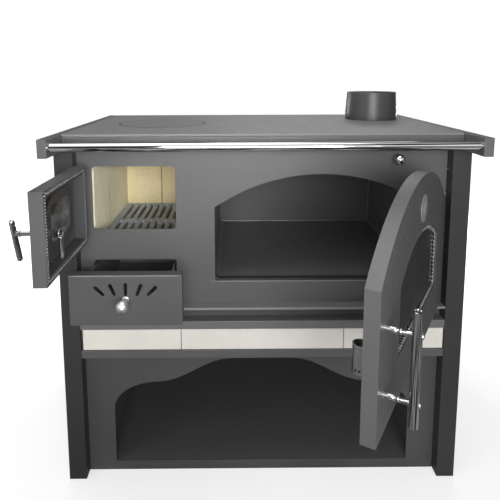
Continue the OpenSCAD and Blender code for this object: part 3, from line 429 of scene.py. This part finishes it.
def stove_glass(name, clear, streak, haze):
    """Ceramic glass with a film of smoke in soft streaks, whose pale streaks are also a painted
    reflection.
    """
    passed = 1.0 - haze
    mat = material(
        name, grey(clear), 0.03, Transmission_Weight=passed, IOR=1.3, Specular_IOR_Level=0.2
    )
    smoke_and_reflection = noise(mat, scale=7, detail=5, stretch=(1, 1, 4))
    # Pale streaks: part smoke film, part painted reflection
    stops = ((0.4, grey(clear)), (0.52, grey(streak * 0.6)), (0.62, grey(streak)))
    into(mat, ramp(mat, smoke_and_reflection, *stops), "Base Color")
    into(mat, spread(mat, smoke_and_reflection, 0.03, 0.2), "Roughness")
    return mat


# The stove's materials. Levels are greys, as the surface reflects them.

body_paint = paint("body_paint", level=0.037, rough=0.45, metal=0.2)
front_paint = paint("front_paint", level=0.111, rough=0.45, metal=0.25)
lower_paint = paint("lower_paint", level=0.078, rough=0.45, metal=0.25)
ledge_paint = paint("ledge_paint", level=0.24, rough=0.42, metal=0.25)
band_paint = paint("band_paint", level=0.155, rough=0.42, metal=0.25)
low_band_paint = paint("low_band_paint", level=0.105, rough=0.42, metal=0.25)
door_paint = paint("door_paint", level=0.113, rough=0.42, metal=0.25)
drawer_paint = paint("drawer_paint", level=0.092, rough=0.42, metal=0.25)
hob_paint = paint("hob_paint", level=0.215, rough=0.5, metal=0.15)
lid_paint = lid_coat("lid_paint", level=0.205)
rail_paint = paint("rail_paint", level=0.145, rough=0.38, metal=0.25)
inner_paint = paint("inner_paint", level=0.19, rough=0.55, metal=0.1)
pan_paint = paint("pan_paint", level=0.17, rough=0.5, metal=0.2)
tray_paint = paint("tray_paint", level=0.065, rough=0.5, metal=0.1)
frame_paint = paint("frame_paint", level=0.055, rough=0.45, metal=0.1)
niche_paint = paint("niche_paint", level=0.1, rough=0.5, metal=0.2)
cap_steel = paint("cap_steel", level=0.3, rough=0.55, metal=0.4)
rivet_black = paint("socket_black", level=0.01, rough=0.6, metal=0.2)
oven_paint = oven_enamel("oven_enamel", level=0.195)
chrome = bare_metal("chrome", level=0.78, rough=0.07)
bar_chrome = bare_metal("bar_chrome", level=0.42, rough=0.12)
tee_chrome = bare_metal("tee_chrome", level=0.52, rough=0.05)
satin_steel = bare_metal("satin_steel", level=0.9, rough=0.42)
brushed = bare_metal("brushed_steel", level=0.5, rough=0.26, grain=(1, 1, 9))
tray_steel = bare_metal("tray_steel", level=0.2, rough=0.42, grain=(1, 1, 5))
screw_steel = bare_metal("screw_steel", level=0.42, rough=0.28)
weld_steel = bare_metal("weld_steel", level=0.5, rough=0.4)
flue_steel = spun_steel("flue_steel", level=0.068)
grate_iron = cast_iron("grate_iron", level=0.49, tint=(0.91, 0.98, 1.13))
cream_board = vermiculite("cream_board", pale=(0.92, 0.8, 0.5), dark=(0.55, 0.44, 0.24))
olive_board = vermiculite("olive_board", pale=(0.92, 0.87, 0.64), dark=(0.5, 0.44, 0.28))
ivory = glaze("ivory_glaze", colour=(0.66, 0.64, 0.59))
seal_rope = glass_rope("seal_rope", dark=0.008, pale=0.85)
window_rope = glass_rope("window_rope", dark=0.03, pale=0.95)
fire_glass = stove_glass("fire_glass", clear=0.08, streak=0.5, haze=0.35)
oven_glass = stove_glass("oven_glass", clear=0.12, streak=0.2, haze=0.12)

FINISH = {
    body_paint: ["left_side_panel", "right_side_panel", "back_panel"],
    front_paint: ["front_panel"],
    ledge_paint: ["hearth_plate"],
    band_paint: ["upper_tile_rail"],
    low_band_paint: ["lower_tile_rail"],
    lower_paint: ["lower_front_panel", "tile_backing"],
    drawer_paint: ["drawer_front"],
    door_paint: ["firebox_door_shell", "oven_door_shell"],
    hob_paint: ["hob_plate"],
    rail_paint: ["left_rail", "right_rail", "hob_apron"],
    inner_paint: ["firebox_shell", "ash_housing", "smoke_baffle", "hob_supports", "grate_seat"],
    niche_paint: ["niche_floor", "niche_top", "niche_walls"],
    chrome: ["towel_bar", "damper_knob", "damper_rod", "firebox_latch", "oven_handle_posts"],
    cap_steel: ["oven_door_cap"],
    bar_chrome: ["oven_handle_bar"],
    tee_chrome: ["firebox_handle"],
    satin_steel: ["drawer_knob"],
    tray_paint: ["firebox_door_channel"],
    frame_paint: ["firebox_glass_frame"],
    brushed: ["oven_door_catch", "firebox_hinges", "oven_hinges"],
    tray_steel: ["oven_door_liner"],
    pan_paint: ["drawer_pan"],
    screw_steel: ["panel_screws", "oven_handle_screws", "oven_glass_clips"],
    oven_paint: ["oven_box"],
    flue_steel: ["flue_collar", "flue_ring"],
    lid_paint: ["ring_lid"],
    grate_iron: ["grate"],
    cream_board: ["back_boards", "right_boards"],
    olive_board: ["left_boards"],
    ivory: ["left_tile", "middle_tile", "right_tile"],
    seal_rope: ["firebox_door_rope", "oven_door_rope"],
    window_rope: ["oven_glass_rope"],
    fire_glass: ["firebox_door_glass"],
    oven_glass: ["oven_door_glass"],
}

for mat, names in FINISH.items():
    for name in names:
        nodes[name].data.materials.clear()
        nodes[name].data.materials.append(mat)


# Painted highlights on two edges, and a sooty joint


def strip(mat, low, high, lift):
    """Multiplies the coat by lift inside a box, as for a painted highlight on an edge or for a sooty
    joint.
    """
    middle = [(a + b) / 2 for a, b in zip(low, high)]
    half = [(b - a) / 2 for a, b in zip(low, high)]
    offset = vector_math(mat, "SUBTRACT", place(mat), middle).outputs["Vector"]
    share = vector_math(mat, "DIVIDE", offset, half).outputs["Vector"]
    outputs = axes(mat, vector_math(mat, "ABSOLUTE", share).outputs["Vector"])
    walls = [ramp(mat, outputs[axis], (0.9, grey(1.0)), (1.0, grey(0.0))) for axis in "XYZ"]
    inside = product(mat, product(mat, walls[0], walls[1]), walls[2])
    darken(mat, ramp(mat, inside, (0.0, grey(1.0)), (1.0, grey(lift))))


# Painted highlight: the top edge of the drawer's front is made brighter in its colour
def paint_drawer_edge_highlight():
    """The top edge of the drawer's front, brightened as a painted highlight where the fold catches
    the light.
    """
    low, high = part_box("drawer_front")
    start = (low[0], low[1] - MM, high[2] - EDGE_HIGHLIGHT_WIDTH)
    end = (high[0], low[1] + EDGE_HIGHLIGHT_WIDTH, high[2] + MM)
    strip(drawer_paint, start, end, DRAWER_HIGHLIGHT_LIFT)


# Painted highlight: the lower edge of the oven's mouth is made brighter in the panel's colour
def paint_oven_mouth_highlight():
    """The lower edge of the oven's mouth in the front panel, brightened as a painted highlight where
    the cut edge catches the light.
    """
    left, right = [corner[0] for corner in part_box("oven_box")]
    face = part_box("front_panel")[0][1]
    start = (left, face - MM, OVEN_MOUTH_LOW - EDGE_HIGHLIGHT_WIDTH)
    end = (right, face + EDGE_HIGHLIGHT_WIDTH, OVEN_MOUTH_LOW + MM)
    strip(front_paint, start, end, MOUTH_HIGHLIGHT_LIFT)


def soot_board_joint():
    """The joint between the two boards on the firebox's left side, dark with soot."""
    low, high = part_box("left_boards")
    ends = sorted({round(v.co[1], 5) for v in nodes["left_boards"].data.vertices})
    joint = (ends[1] + ends[-2]) / 2
    start = (low[0], joint - JOINT_SOOT, low[2])
    end = (high[0] + MM, joint + JOINT_SOOT, high[2])
    strip(olive_board, start, end, JOINT_SOOT_LIFT)


# Painted highlights on the drawer's edge and the oven's mouth, then soot in a board joint
paint_drawer_edge_highlight()
paint_oven_mouth_highlight()
soot_board_joint()


# Soft edges on the fixed solids: widths in mm

EDGES = {
    1.0: ["left_side_panel", "right_side_panel", "back_panel", "hob_plate", "hob_apron"],
    0.8: [
        "front_panel", "lower_front_panel", "hearth_plate", "oven_door_shell",
        "firebox_door_shell",
    ],
    0.9: ["left_rail", "right_rail", "upper_tile_rail", "lower_tile_rail"],
    1.5: ["grate", "drawer_front"],
    2.2: ["left_boards", "back_boards", "right_boards"],
    1.2: ["left_tile", "middle_tile", "right_tile", "ring_lid", "flue_collar", "flue_ring"],
    0.4: ["firebox_door_channel", "firebox_glass_frame", "oven_door_liner", "oven_box"],
}
EDGE_STEPS = 2
EDGE_OVER = radians(32)
FLAT_UNDER = radians(0.4)
WELD_UNDER = 0.01 * MM


def shade_smooth_group():
    group = bpy.data.node_groups.new("smooth_faces", "GeometryNodeTree")
    group.interface.new_socket("Geometry", in_out="INPUT", socket_type="NodeSocketGeometry")
    group.interface.new_socket("Geometry", in_out="OUTPUT", socket_type="NodeSocketGeometry")
    start = group.nodes.new("NodeGroupInput")
    smooth = group.nodes.new("GeometryNodeSetShadeSmooth")
    end = group.nodes.new("NodeGroupOutput")
    group.links.new(start.outputs[0], smooth.inputs["Geometry"])
    group.links.new(smooth.outputs["Geometry"], end.inputs[0])
    return group


smooth_faces = shade_smooth_group()


def soften(name, width):
    """Rounds a solid's edges by width, with modifiers only."""
    solid = nodes[name]
    weld = solid.modifiers.new("weld", "WELD")
    weld.merge_threshold = WELD_UNDER
    flats = solid.modifiers.new("flats", "DECIMATE")
    flats.decimate_type = "DISSOLVE"
    flats.angle_limit = FLAT_UNDER
    edges = solid.modifiers.new("edges", "BEVEL")
    edges.width = width
    edges.segments = EDGE_STEPS
    edges.limit_method = "ANGLE"
    edges.angle_limit = EDGE_OVER
    edges.use_clamp_overlap = True
    smooth = solid.modifiers.new("smooth", "NODES")
    smooth.node_group = smooth_faces
    normals = solid.modifiers.new("normals", "WEIGHTED_NORMAL")
    normals.weight = 100
    normals.keep_sharp = False


for width, names in EDGES.items():
    for name in names:
        soften(name, width * MM)


# Building blocks of the small parts


def mesh_piece(name, verts, faces, mat, body, at):
    mesh = bpy.data.meshes.new(name)
    mesh.from_pydata([tuple(at @ Vector(v)) for v in verts], [], faces)
    mesh.validate()
    mesh.polygons.foreach_set("use_smooth", [True] * len(mesh.polygons))
    mesh.materials.append(mat)
    mesh.update()
    piece = bpy.data.objects.new(name, mesh)
    bpy.context.scene.collection.objects.link(piece)
    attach(piece, body)
    return piece


def stand_in(piece, node):
    """A piece that shows one node of the frame in more detail: the node is hidden."""
    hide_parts(node)


def swing(joint, angle):
    """A door's turn from closed to rest."""
    pin = Vector(joints[joint]["pos_m"])
    return Matrix.Translation(pin) @ Matrix.Rotation(angle, 4, "Z") @ Matrix.Translation(-pin)


firebox_swing = swing("firebox_door_hinge", FIREBOX_OPEN)
oven_swing = swing("oven_door_hinge", OVEN_OPEN)


def closed_box(name, door_swing):
    """Lowest and highest corner of a door's node, with the door closed."""
    turn_back = door_swing.inverted()
    points = [turn_back @ v.co for v in nodes[name].data.vertices]
    low = Vector([min(p[i] for p in points) for i in range(3)])
    high = Vector([max(p[i] for p in points) for i in range(3)])
    return low, high


def turned_shape(outline, start, along, sides=TURNED_SIDES):
    """Vertices and faces of a turned part, from an outline in mm, a start and a direction."""
    at = Matrix.Translation(start) @ Vector(along).to_track_quat("Z", "Y").to_matrix().to_4x4()
    points = [(distance * MM, radius * MM) for distance, radius in outline]
    count = len(points)
    verts = []
    for step in range(sides):
        turn = 2 * pi * step / sides
        verts += [at @ Vector((r * cos(turn), r * sin(turn), d)) for d, r in points]
    faces = []
    for step in range(sides):
        a, b = step * count, (step + 1) % sides * count
        faces += [(a + k, b + k, b + k + 1, a + k + 1) for k in range(count - 1)]
    return verts, faces


def turned(name, shapes, mat, body, at=UNTURNED):
    """One piece of several turned shapes. Their outlines start and end on the axis."""
    verts, faces = [], []
    for shape_verts, shape_faces in shapes:
        base = len(verts)
        verts += shape_verts
        faces += [tuple(base + k for k in face) for face in shape_faces]
    piece = mesh_piece(name, verts, faces, mat, body, at)
    weld = piece.modifiers.new("weld", "WELD")
    weld.merge_threshold = TURNED_WELD
    piece.data.set_sharp_from_angle(angle=SHARP_OVER)
    return piece


def mirrored(end, length):
    """Outline of a bar with the same end twice."""
    return [*end, *[(length - along, radius) for along, radius in reversed(end)]]


def round_corner(x, z, radius, first):
    """Points of a quarter circle about x and z, from the angle first."""
    turns = [first + pi / 2 * k / CORNER_STEPS for k in range(CORNER_STEPS + 1)]
    return [(x + radius * cos(turn), z + radius * sin(turn)) for turn in turns]


def arch_line(middle, half, foot, top, rise, inset, corner, step):
    """Closed line inside an arch-topped outline, in x and z, with small rounds at the foot."""
    radius = (half * half + rise * rise) / (2 * rise)
    centre = top - radius
    radius, half, foot = radius - inset, half - inset, foot + inset
    fan = asin(half / radius)
    line = []
    for side, first in ((-1, pi), (1, 1.5 * pi)):
        line += round_corner(middle + side * (half - corner), foot + corner, corner, first)
    for k in range(ARCH_STEPS + 1):
        turn = fan - 2 * fan * k / ARCH_STEPS
        line.append((middle + radius * sin(turn), centre + radius * cos(turn)))
    return even(line, step)


def box_line(x0, x1, z0, z1, corner, step):
    """Closed line round a rectangle with rounded corners, in x and z."""
    line = round_corner(x0 + corner, z0 + corner, corner, pi)
    line += round_corner(x1 - corner, z0 + corner, corner, 1.5 * pi)
    line += round_corner(x1 - corner, z1 - corner, corner, 0)
    line += round_corner(x0 + corner, z1 - corner, corner, 0.5 * pi)
    return even(line, step)


def legs(line):
    """Lengths of a closed line's legs."""
    ends = zip(line, line[1:] + line[:1])
    return [sqrt((b[0] - a[0]) ** 2 + (b[1] - a[1]) ** 2) for a, b in ends]


def even(line, step):
    """The closed line again, with points at even distances."""
    closed = line + line[:1]
    lengths = legs(line)
    total = sum(lengths)
    count = round(total / step)
    points, leg, done = [], 0, 0.0
    for k in range(count):
        want = total * k / count
        while done + lengths[leg] < want:
            done += lengths[leg]
            leg += 1
        part = (want - done) / lengths[leg]
        a, b = closed[leg], closed[leg + 1]
        points.append((a[0] + (b[0] - a[0]) * part, a[1] + (b[1] - a[1]) * part))
    return points


def rope_section(low, high, half):
    """A rope's middle in y, half width and flatness, from its node's closed box."""
    return (low[1] + high[1]) / 2, half, (high[1] - low[1]) / 2 / half


def braided(name, line, section, pitch, mat, body, at=UNTURNED, sides=ROPE_SIDES):
    """A rope laid along a closed line. Two sets of strands cross on its skin; each vertex keeps
    the height of the strands as its braid value."""
    y, half, flat = section
    count = len(line)
    waves = round(sum(legs(line)) / pitch)
    verts, values = [], []
    for k, (x, z) in enumerate(line):
        before, after = line[k - 1], line[(k + 1) % count]
        dx, dz = after[0] - before[0], after[1] - before[1]
        size = sqrt(dx * dx + dz * dz)
        side = (dz / size, -dx / size)
        phase = 2 * pi * waves * k / count
        for j in range(sides):
            turn = 2 * pi * j / sides
            strand = 0.5 + 0.5 * cos(2 * turn) * cos(phase)
            values.append(strand)
            bulge = half * (BRAID_LOW + BRAID_RISE * strand)
            out = bulge * cos(turn)
            verts.append((x + side[0] * out, y + flat * bulge * sin(turn), z + side[1] * out))
    faces = []
    for k in range(count):
        a, b = k * sides, (k + 1) % count * sides
        faces += [(a + j, a + (j + 1) % sides, b + (j + 1) % sides, b + j) for j in range(sides)]
    rope = mesh_piece(name, verts, faces, mat, body, at)
    rope.data.attributes.new("braid", "FLOAT", "POINT").data.foreach_set("value", values)
    return rope


# Ropes of the doors and the oven window


def firebox_rope():
    low, high = closed_box("firebox_door_rope", firebox_swing)
    line = box_line(
        low[0] + SEAL_HALF, high[0] - SEAL_HALF, low[2] + SEAL_HALF, high[2] - SEAL_HALF,
        corner=5 * MM, step=1.4 * MM,
    )
    section = rope_section(low, high, SEAL_HALF)
    rope = braided(
        "firebox_braid", line, section, FIREBOX_PITCH, seal_rope, "firebox_door", firebox_swing
    )
    stand_in(rope, "firebox_door_rope")


def oven_rope():
    low, high = closed_box("oven_door_shell", oven_swing)
    half = (high[0] - low[0]) / 2
    line = arch_line(
        middle=low[0] + half, half=half, foot=low[2], top=high[2],
        rise=OVEN_DOOR_RISE, inset=OVEN_SEAL_IN + SEAL_HALF, corner=5 * MM, step=1.7 * MM,
    )
    section = rope_section(*closed_box("oven_door_rope", oven_swing), SEAL_HALF)
    rope = braided("oven_braid", line, section, OVEN_PITCH, seal_rope, "oven_door", oven_swing)
    stand_in(rope, "oven_door_rope")


def window_braid():
    low, high = closed_box("oven_glass_rope", oven_swing)
    lap = WINDOW_ROPE_LAP
    half = (high[0] - low[0]) / 2
    line = arch_line(
        middle=low[0] + half, half=half - lap, foot=low[2] + lap, top=high[2] - lap,
        rise=OVEN_WINDOW_RISE, inset=WINDOW_ROPE_IN, corner=4 * MM, step=1.5 * MM,
    )
    section = rope_section(low, high, WINDOW_ROPE_HALF)
    rope = braided(
        "oven_window_braid", line, section, WINDOW_PITCH, window_rope, "oven_door", oven_swing
    )
    stand_in(rope, "oven_glass_rope")


# Knobs, handles, latch, rivets and weld


def ball_knob(name, node, face, neck, mat, body):
    """A ball on a turned neck, which stands out of a face towards the front."""
    low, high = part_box(node)
    radius = (high[0] - low[0]) / 2
    centre = face - low[1] - radius
    first = asin(neck[-1][1] * MM / radius)
    turns = [first + (pi - first) * k / BALL_STEPS for k in range(BALL_STEPS)]
    ball = [((centre - radius * cos(turn)) / MM, radius * sin(turn) / MM) for turn in turns]
    outline = [*neck, *ball, ((centre + radius) / MM, 0)]
    start = ((low[0] + high[0]) / 2, face, (low[2] + high[2]) / 2)
    stand_in(turned(name, [turned_shape(outline, start, FRONT)], mat, body), node)


def firebox_tee():
    """T-shaped handle: rosette, stem with a collar, and a bar with a groove near each end."""
    low = closed_box("firebox_handle", firebox_swing)[0]
    pivot = firebox_swing.inverted() @ Vector(joints["firebox_lever_turn"]["pos_m"])
    foot = Vector((pivot[0], low[1] + TEE_RADIUS + TEE_OUT, pivot[2]))
    tilt = Vector((sin(TEE_TILT), 0, cos(TEE_TILT)))
    bar_start = foot + Vector((0, -TEE_OUT, 0)) - tilt * TEE_LOW
    bar = mirrored(TEE_END, TEE_LENGTH / MM)
    shapes = [turned_shape(TEE_STEM, foot, FRONT), turned_shape(bar, bar_start, tilt)]
    tee = turned("firebox_tee", shapes, tee_chrome, "firebox_lever", firebox_swing)
    stand_in(tee, "firebox_handle")


def firebox_tongue():
    """Latch on the inner side: shaft with a washer and a nut, and the tongue with its rounded end."""
    low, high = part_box("firebox_latch")
    pivot = joints["firebox_lever_turn"]["pos_m"]
    root = (low[0], pivot[1], pivot[2])
    top = (high[0] - TONGUE_BACK, pivot[1], pivot[2])
    shapes = [
        turned_shape(LATCH_SHAFT, root, RIGHT),
        turned_shape(LATCH_NUT, root, RIGHT, NUT_SIDES),
        turned_shape(LATCH_TONGUE, top, DOWN),
    ]
    stand_in(turned("firebox_tongue", shapes, chrome, "firebox_lever"), "firebox_latch")


def oven_bar():
    """Tube of the oven's handle, with turned-in ends."""
    low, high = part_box("oven_handle_bar")
    lip = (OVEN_BAR_LIP, (high[0] - low[0]) / 2 / MM)
    tube = mirrored([*OVEN_BAR_END, lip], (high[2] - low[2]) / MM)
    start = Vector(((low[0] + high[0]) / 2, (low[1] + high[1]) / 2, low[2]))
    bar = turned("oven_bar", [turned_shape(tube, start, UP)], bar_chrome, "oven_door")
    stand_in(bar, "oven_handle_bar")


def oven_posts():
    """Two posts of the oven's handle, each with a waist and a bead, and their screws' heads."""
    low, high = closed_box("oven_handle_posts", oven_swing)
    front = closed_box("oven_handle_screws", oven_swing)[0][1]
    middle = (low[0] + high[0]) / 2
    half = (high[0] - low[0]) / 2
    heights = (low[2] + half, high[2] - half)
    posts = [turned_shape(OVEN_POST, (middle, high[1], z), FRONT) for z in heights]
    heads = [turned_shape(SCREW_HEAD, (middle, front, z), BACK) for z in heights]
    stand_in(turned("oven_posts", posts, chrome, "oven_door", oven_swing), "oven_handle_posts")
    screws = turned("oven_bar_screws", heads, chrome, "oven_door", oven_swing)
    stand_in(screws, "oven_handle_screws")


def catch_rivets():
    """Three rivets near the foot of the spring catch."""
    low, high = closed_box("oven_door_catch", oven_swing)
    radius = (high[0] - low[0]) / 2
    centre = Vector((low[0] + radius, high[1] - radius, low[2] + RIVET_UP))
    shapes = []
    for turn in RIVET_TURNS:
        out = Vector((cos(turn), sin(turn), 0))
        shapes.append(turned_shape(RIVET, centre + out * radius, out, RIVET_SIDES))
    turned("catch_rivets", shapes, rivet_black, "oven_door", oven_swing)


def oven_weld():
    """Weld round the back wall of the oven box."""
    low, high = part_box("oven_box")
    points = [v.co for v in nodes["oven_box"].data.vertices if v.co[1] > low[1] + OVEN_FLANGE]
    xs, zs = [p[0] for p in points], [p[2] for p in points]
    line = box_line(
        min(xs) + OVEN_WALL, max(xs) - OVEN_WALL, min(zs) + OVEN_WALL, max(zs) - OVEN_WALL,
        corner=OVEN_CORNER, step=1.2 * MM,
    )
    section = (high[1] - (OVEN_WALL + WELD_OFF), WELD_HALF, 1)
    braided("oven_weld", line, section, WELD_PITCH, weld_steel, "frame", sides=WELD_SIDES)


drawer_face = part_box("drawer_front")[0][1]
panel_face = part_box("damper_knob")[1][1]

firebox_rope()
oven_rope()
window_braid()
ball_knob("drawer_ball", "drawer_knob", drawer_face, DRAWER_NECK, satin_steel, "ash_drawer")
ball_knob("damper_ball", "damper_knob", panel_face, DAMPER_NECK, chrome, "damper")
firebox_tee()
firebox_tongue()
oven_bar()
oven_posts()
catch_rivets()
oven_weld()


# Floor, room, lamps and camera


def patches(owner, where, scale, fade):
    """Wide dark and light patches, as a room gives a mirror, and plain dark grey towards the back."""
    tex = add(owner, "ShaderNodeTexNoise", Scale=scale, Detail=1.0)
    link(owner, where, tex.inputs["Vector"])
    room = ramp(owner, tex.outputs["Fac"], *[(at, grey(level)) for at, level in PATCH_STOPS])
    shade = add(owner, "ShaderNodeMix", data_type="RGBA")
    link(owner, spread(owner, axes(owner, where)["Y"], 0, 1, fade), shade.inputs["Factor"])
    link(owner, room, shade.inputs["A"])
    shade.inputs["B"].default_value = (*grey(PATCH_BACK), 1)
    return shade.outputs["Result"]


def mix_shader(owner, part, first, second):
    """The first shader, or the second where part is 1."""
    node = add(owner, "ShaderNodeMixShader")
    for socket, value in zip(node.inputs, (part, first, second)):
        link(owner, value, socket)
    return node.outputs[0]


def make_floor():
    """A pale floor that stays near white for the camera, keeps shadows and bounces soft light."""
    half = FLOOR_SIZE / 2
    corners = [(-half, -half, 0), (half, -half, 0), (half, half, 0), (-half, half, 0)]
    mesh = bpy.data.meshes.new("floor")
    mesh.from_pydata(corners, [], [(0, 1, 2, 3)])
    mat = material("floor", grey(FLOOR_GREY), 0.8, Specular_IOR_Level=0.1)
    dark, pale = grey(FLOOR_GREY - 0.01), grey(FLOOR_GREY + 0.01)
    into(mat, ramp(mat, noise(mat, scale=2, detail=2), (0.3, dark), (0.7, pale)), "Base Color")
    surface = shader_of(mat).outputs[0]
    reach = vector_math(mat, "LENGTH", place(mat)).outputs["Value"]
    glow = add(mat, "ShaderNodeEmission")
    link(mat, spread(mat, reach, *FLOOR_GLOW, FLOOR_GLOW_REACH), glow.inputs["Strength"])
    lifted = add(mat, "ShaderNodeAddShader")
    link(mat, surface, lifted.inputs[0])
    link(mat, glow.outputs[0], lifted.inputs[1])
    dim = add(mat, "ShaderNodeEmission", Strength=FLOOR_MIRRORED)
    where = add(mat, "ShaderNodeTexCoord").outputs["Object"]
    link(mat, patches(mat, where, FLOOR_PATCH_SCALE, FLOOR_PATCH_FADE), dim.inputs["Color"])
    path = add(mat, "ShaderNodeLightPath")
    seen = mix_shader(mat, path.outputs["Is Camera Ray"], surface, lifted.outputs[0])
    shown = mix_shader(mat, path.outputs["Is Glossy Ray"], seen, dim.outputs[0])
    link(mat, shown, mat.node_tree.nodes["Material Output"].inputs["Surface"])
    mesh.materials.append(mat)
    floor = bpy.data.objects.new("floor", mesh)
    bpy.context.scene.collection.objects.link(floor)


def make_world():
    """White behind the object, soft grey light on it, and a darker room for metal to mirror."""
    world = bpy.data.worlds.new("studio")
    world.use_nodes = True
    world.node_tree.nodes.clear()
    path = add(world, "ShaderNodeLightPath")
    seen = add(world, "ShaderNodeMath", operation="MAXIMUM")
    link(world, path.outputs["Is Camera Ray"], seen.inputs[0])
    link(world, path.outputs["Is Transmission Ray"], seen.inputs[1])
    where = add(world, "ShaderNodeTexCoord").outputs["Generated"]
    white = (*grey(1.0), 1)
    soft = add(world, "ShaderNodeBackground", Color=white, Strength=ROOM_LIGHT).outputs[0]
    backdrop = add(world, "ShaderNodeBackground", Color=white, Strength=1.0).outputs[0]
    room = add(world, "ShaderNodeBackground", Strength=1.0)
    link(world, patches(world, where, ROOM_PATCH_SCALE, ROOM_PATCH_FADE), room.inputs["Color"])
    light = mix_shader(world, path.outputs["Is Glossy Ray"], soft, room.outputs[0])
    shown = mix_shader(world, seen.outputs[0], light, backdrop)
    link(world, shown, add(world, "ShaderNodeOutputWorld").inputs["Surface"])
    bpy.context.scene.world = world


def area_lamp(name, start, aim, size, watts, spread_degrees):
    data = bpy.data.lights.new(name, "AREA")
    data.spread = radians(spread_degrees)
    data.shape = "RECTANGLE"
    data.size, data.size_y = size
    data.energy = watts
    lamp = bpy.data.objects.new(name, data)
    lamp.location = start
    lamp.rotation_euler = (Vector(aim) - Vector(start)).to_track_quat("-Z", "Y").to_euler()
    bpy.context.scene.collection.objects.link(lamp)


def make_camera():
    data = bpy.data.cameras.new("camera")
    data.sensor_width = CAM_SENSOR
    data.lens = CAM_LENS
    data.shift_x, data.shift_y = CAM_SHIFT
    camera = bpy.data.objects.new("camera", data)
    turn = Matrix.Rotation(CAM_YAW, 4, "Z") @ Matrix.Rotation(CAM_PITCH, 4, "X")
    turn = turn @ Matrix.Rotation(CAM_ROLL, 4, "Y")
    camera.matrix_world = Matrix.Translation(CAM_PLACE) @ turn @ Matrix.Rotation(pi / 2, 4, "X")
    bpy.context.scene.collection.objects.link(camera)
    bpy.context.scene.camera = camera


make_floor()
make_world()
for name, settings in LAMPS.items():
    area_lamp(name, *settings)
make_camera()

bpy.context.scene.view_settings.view_transform = "Standard"
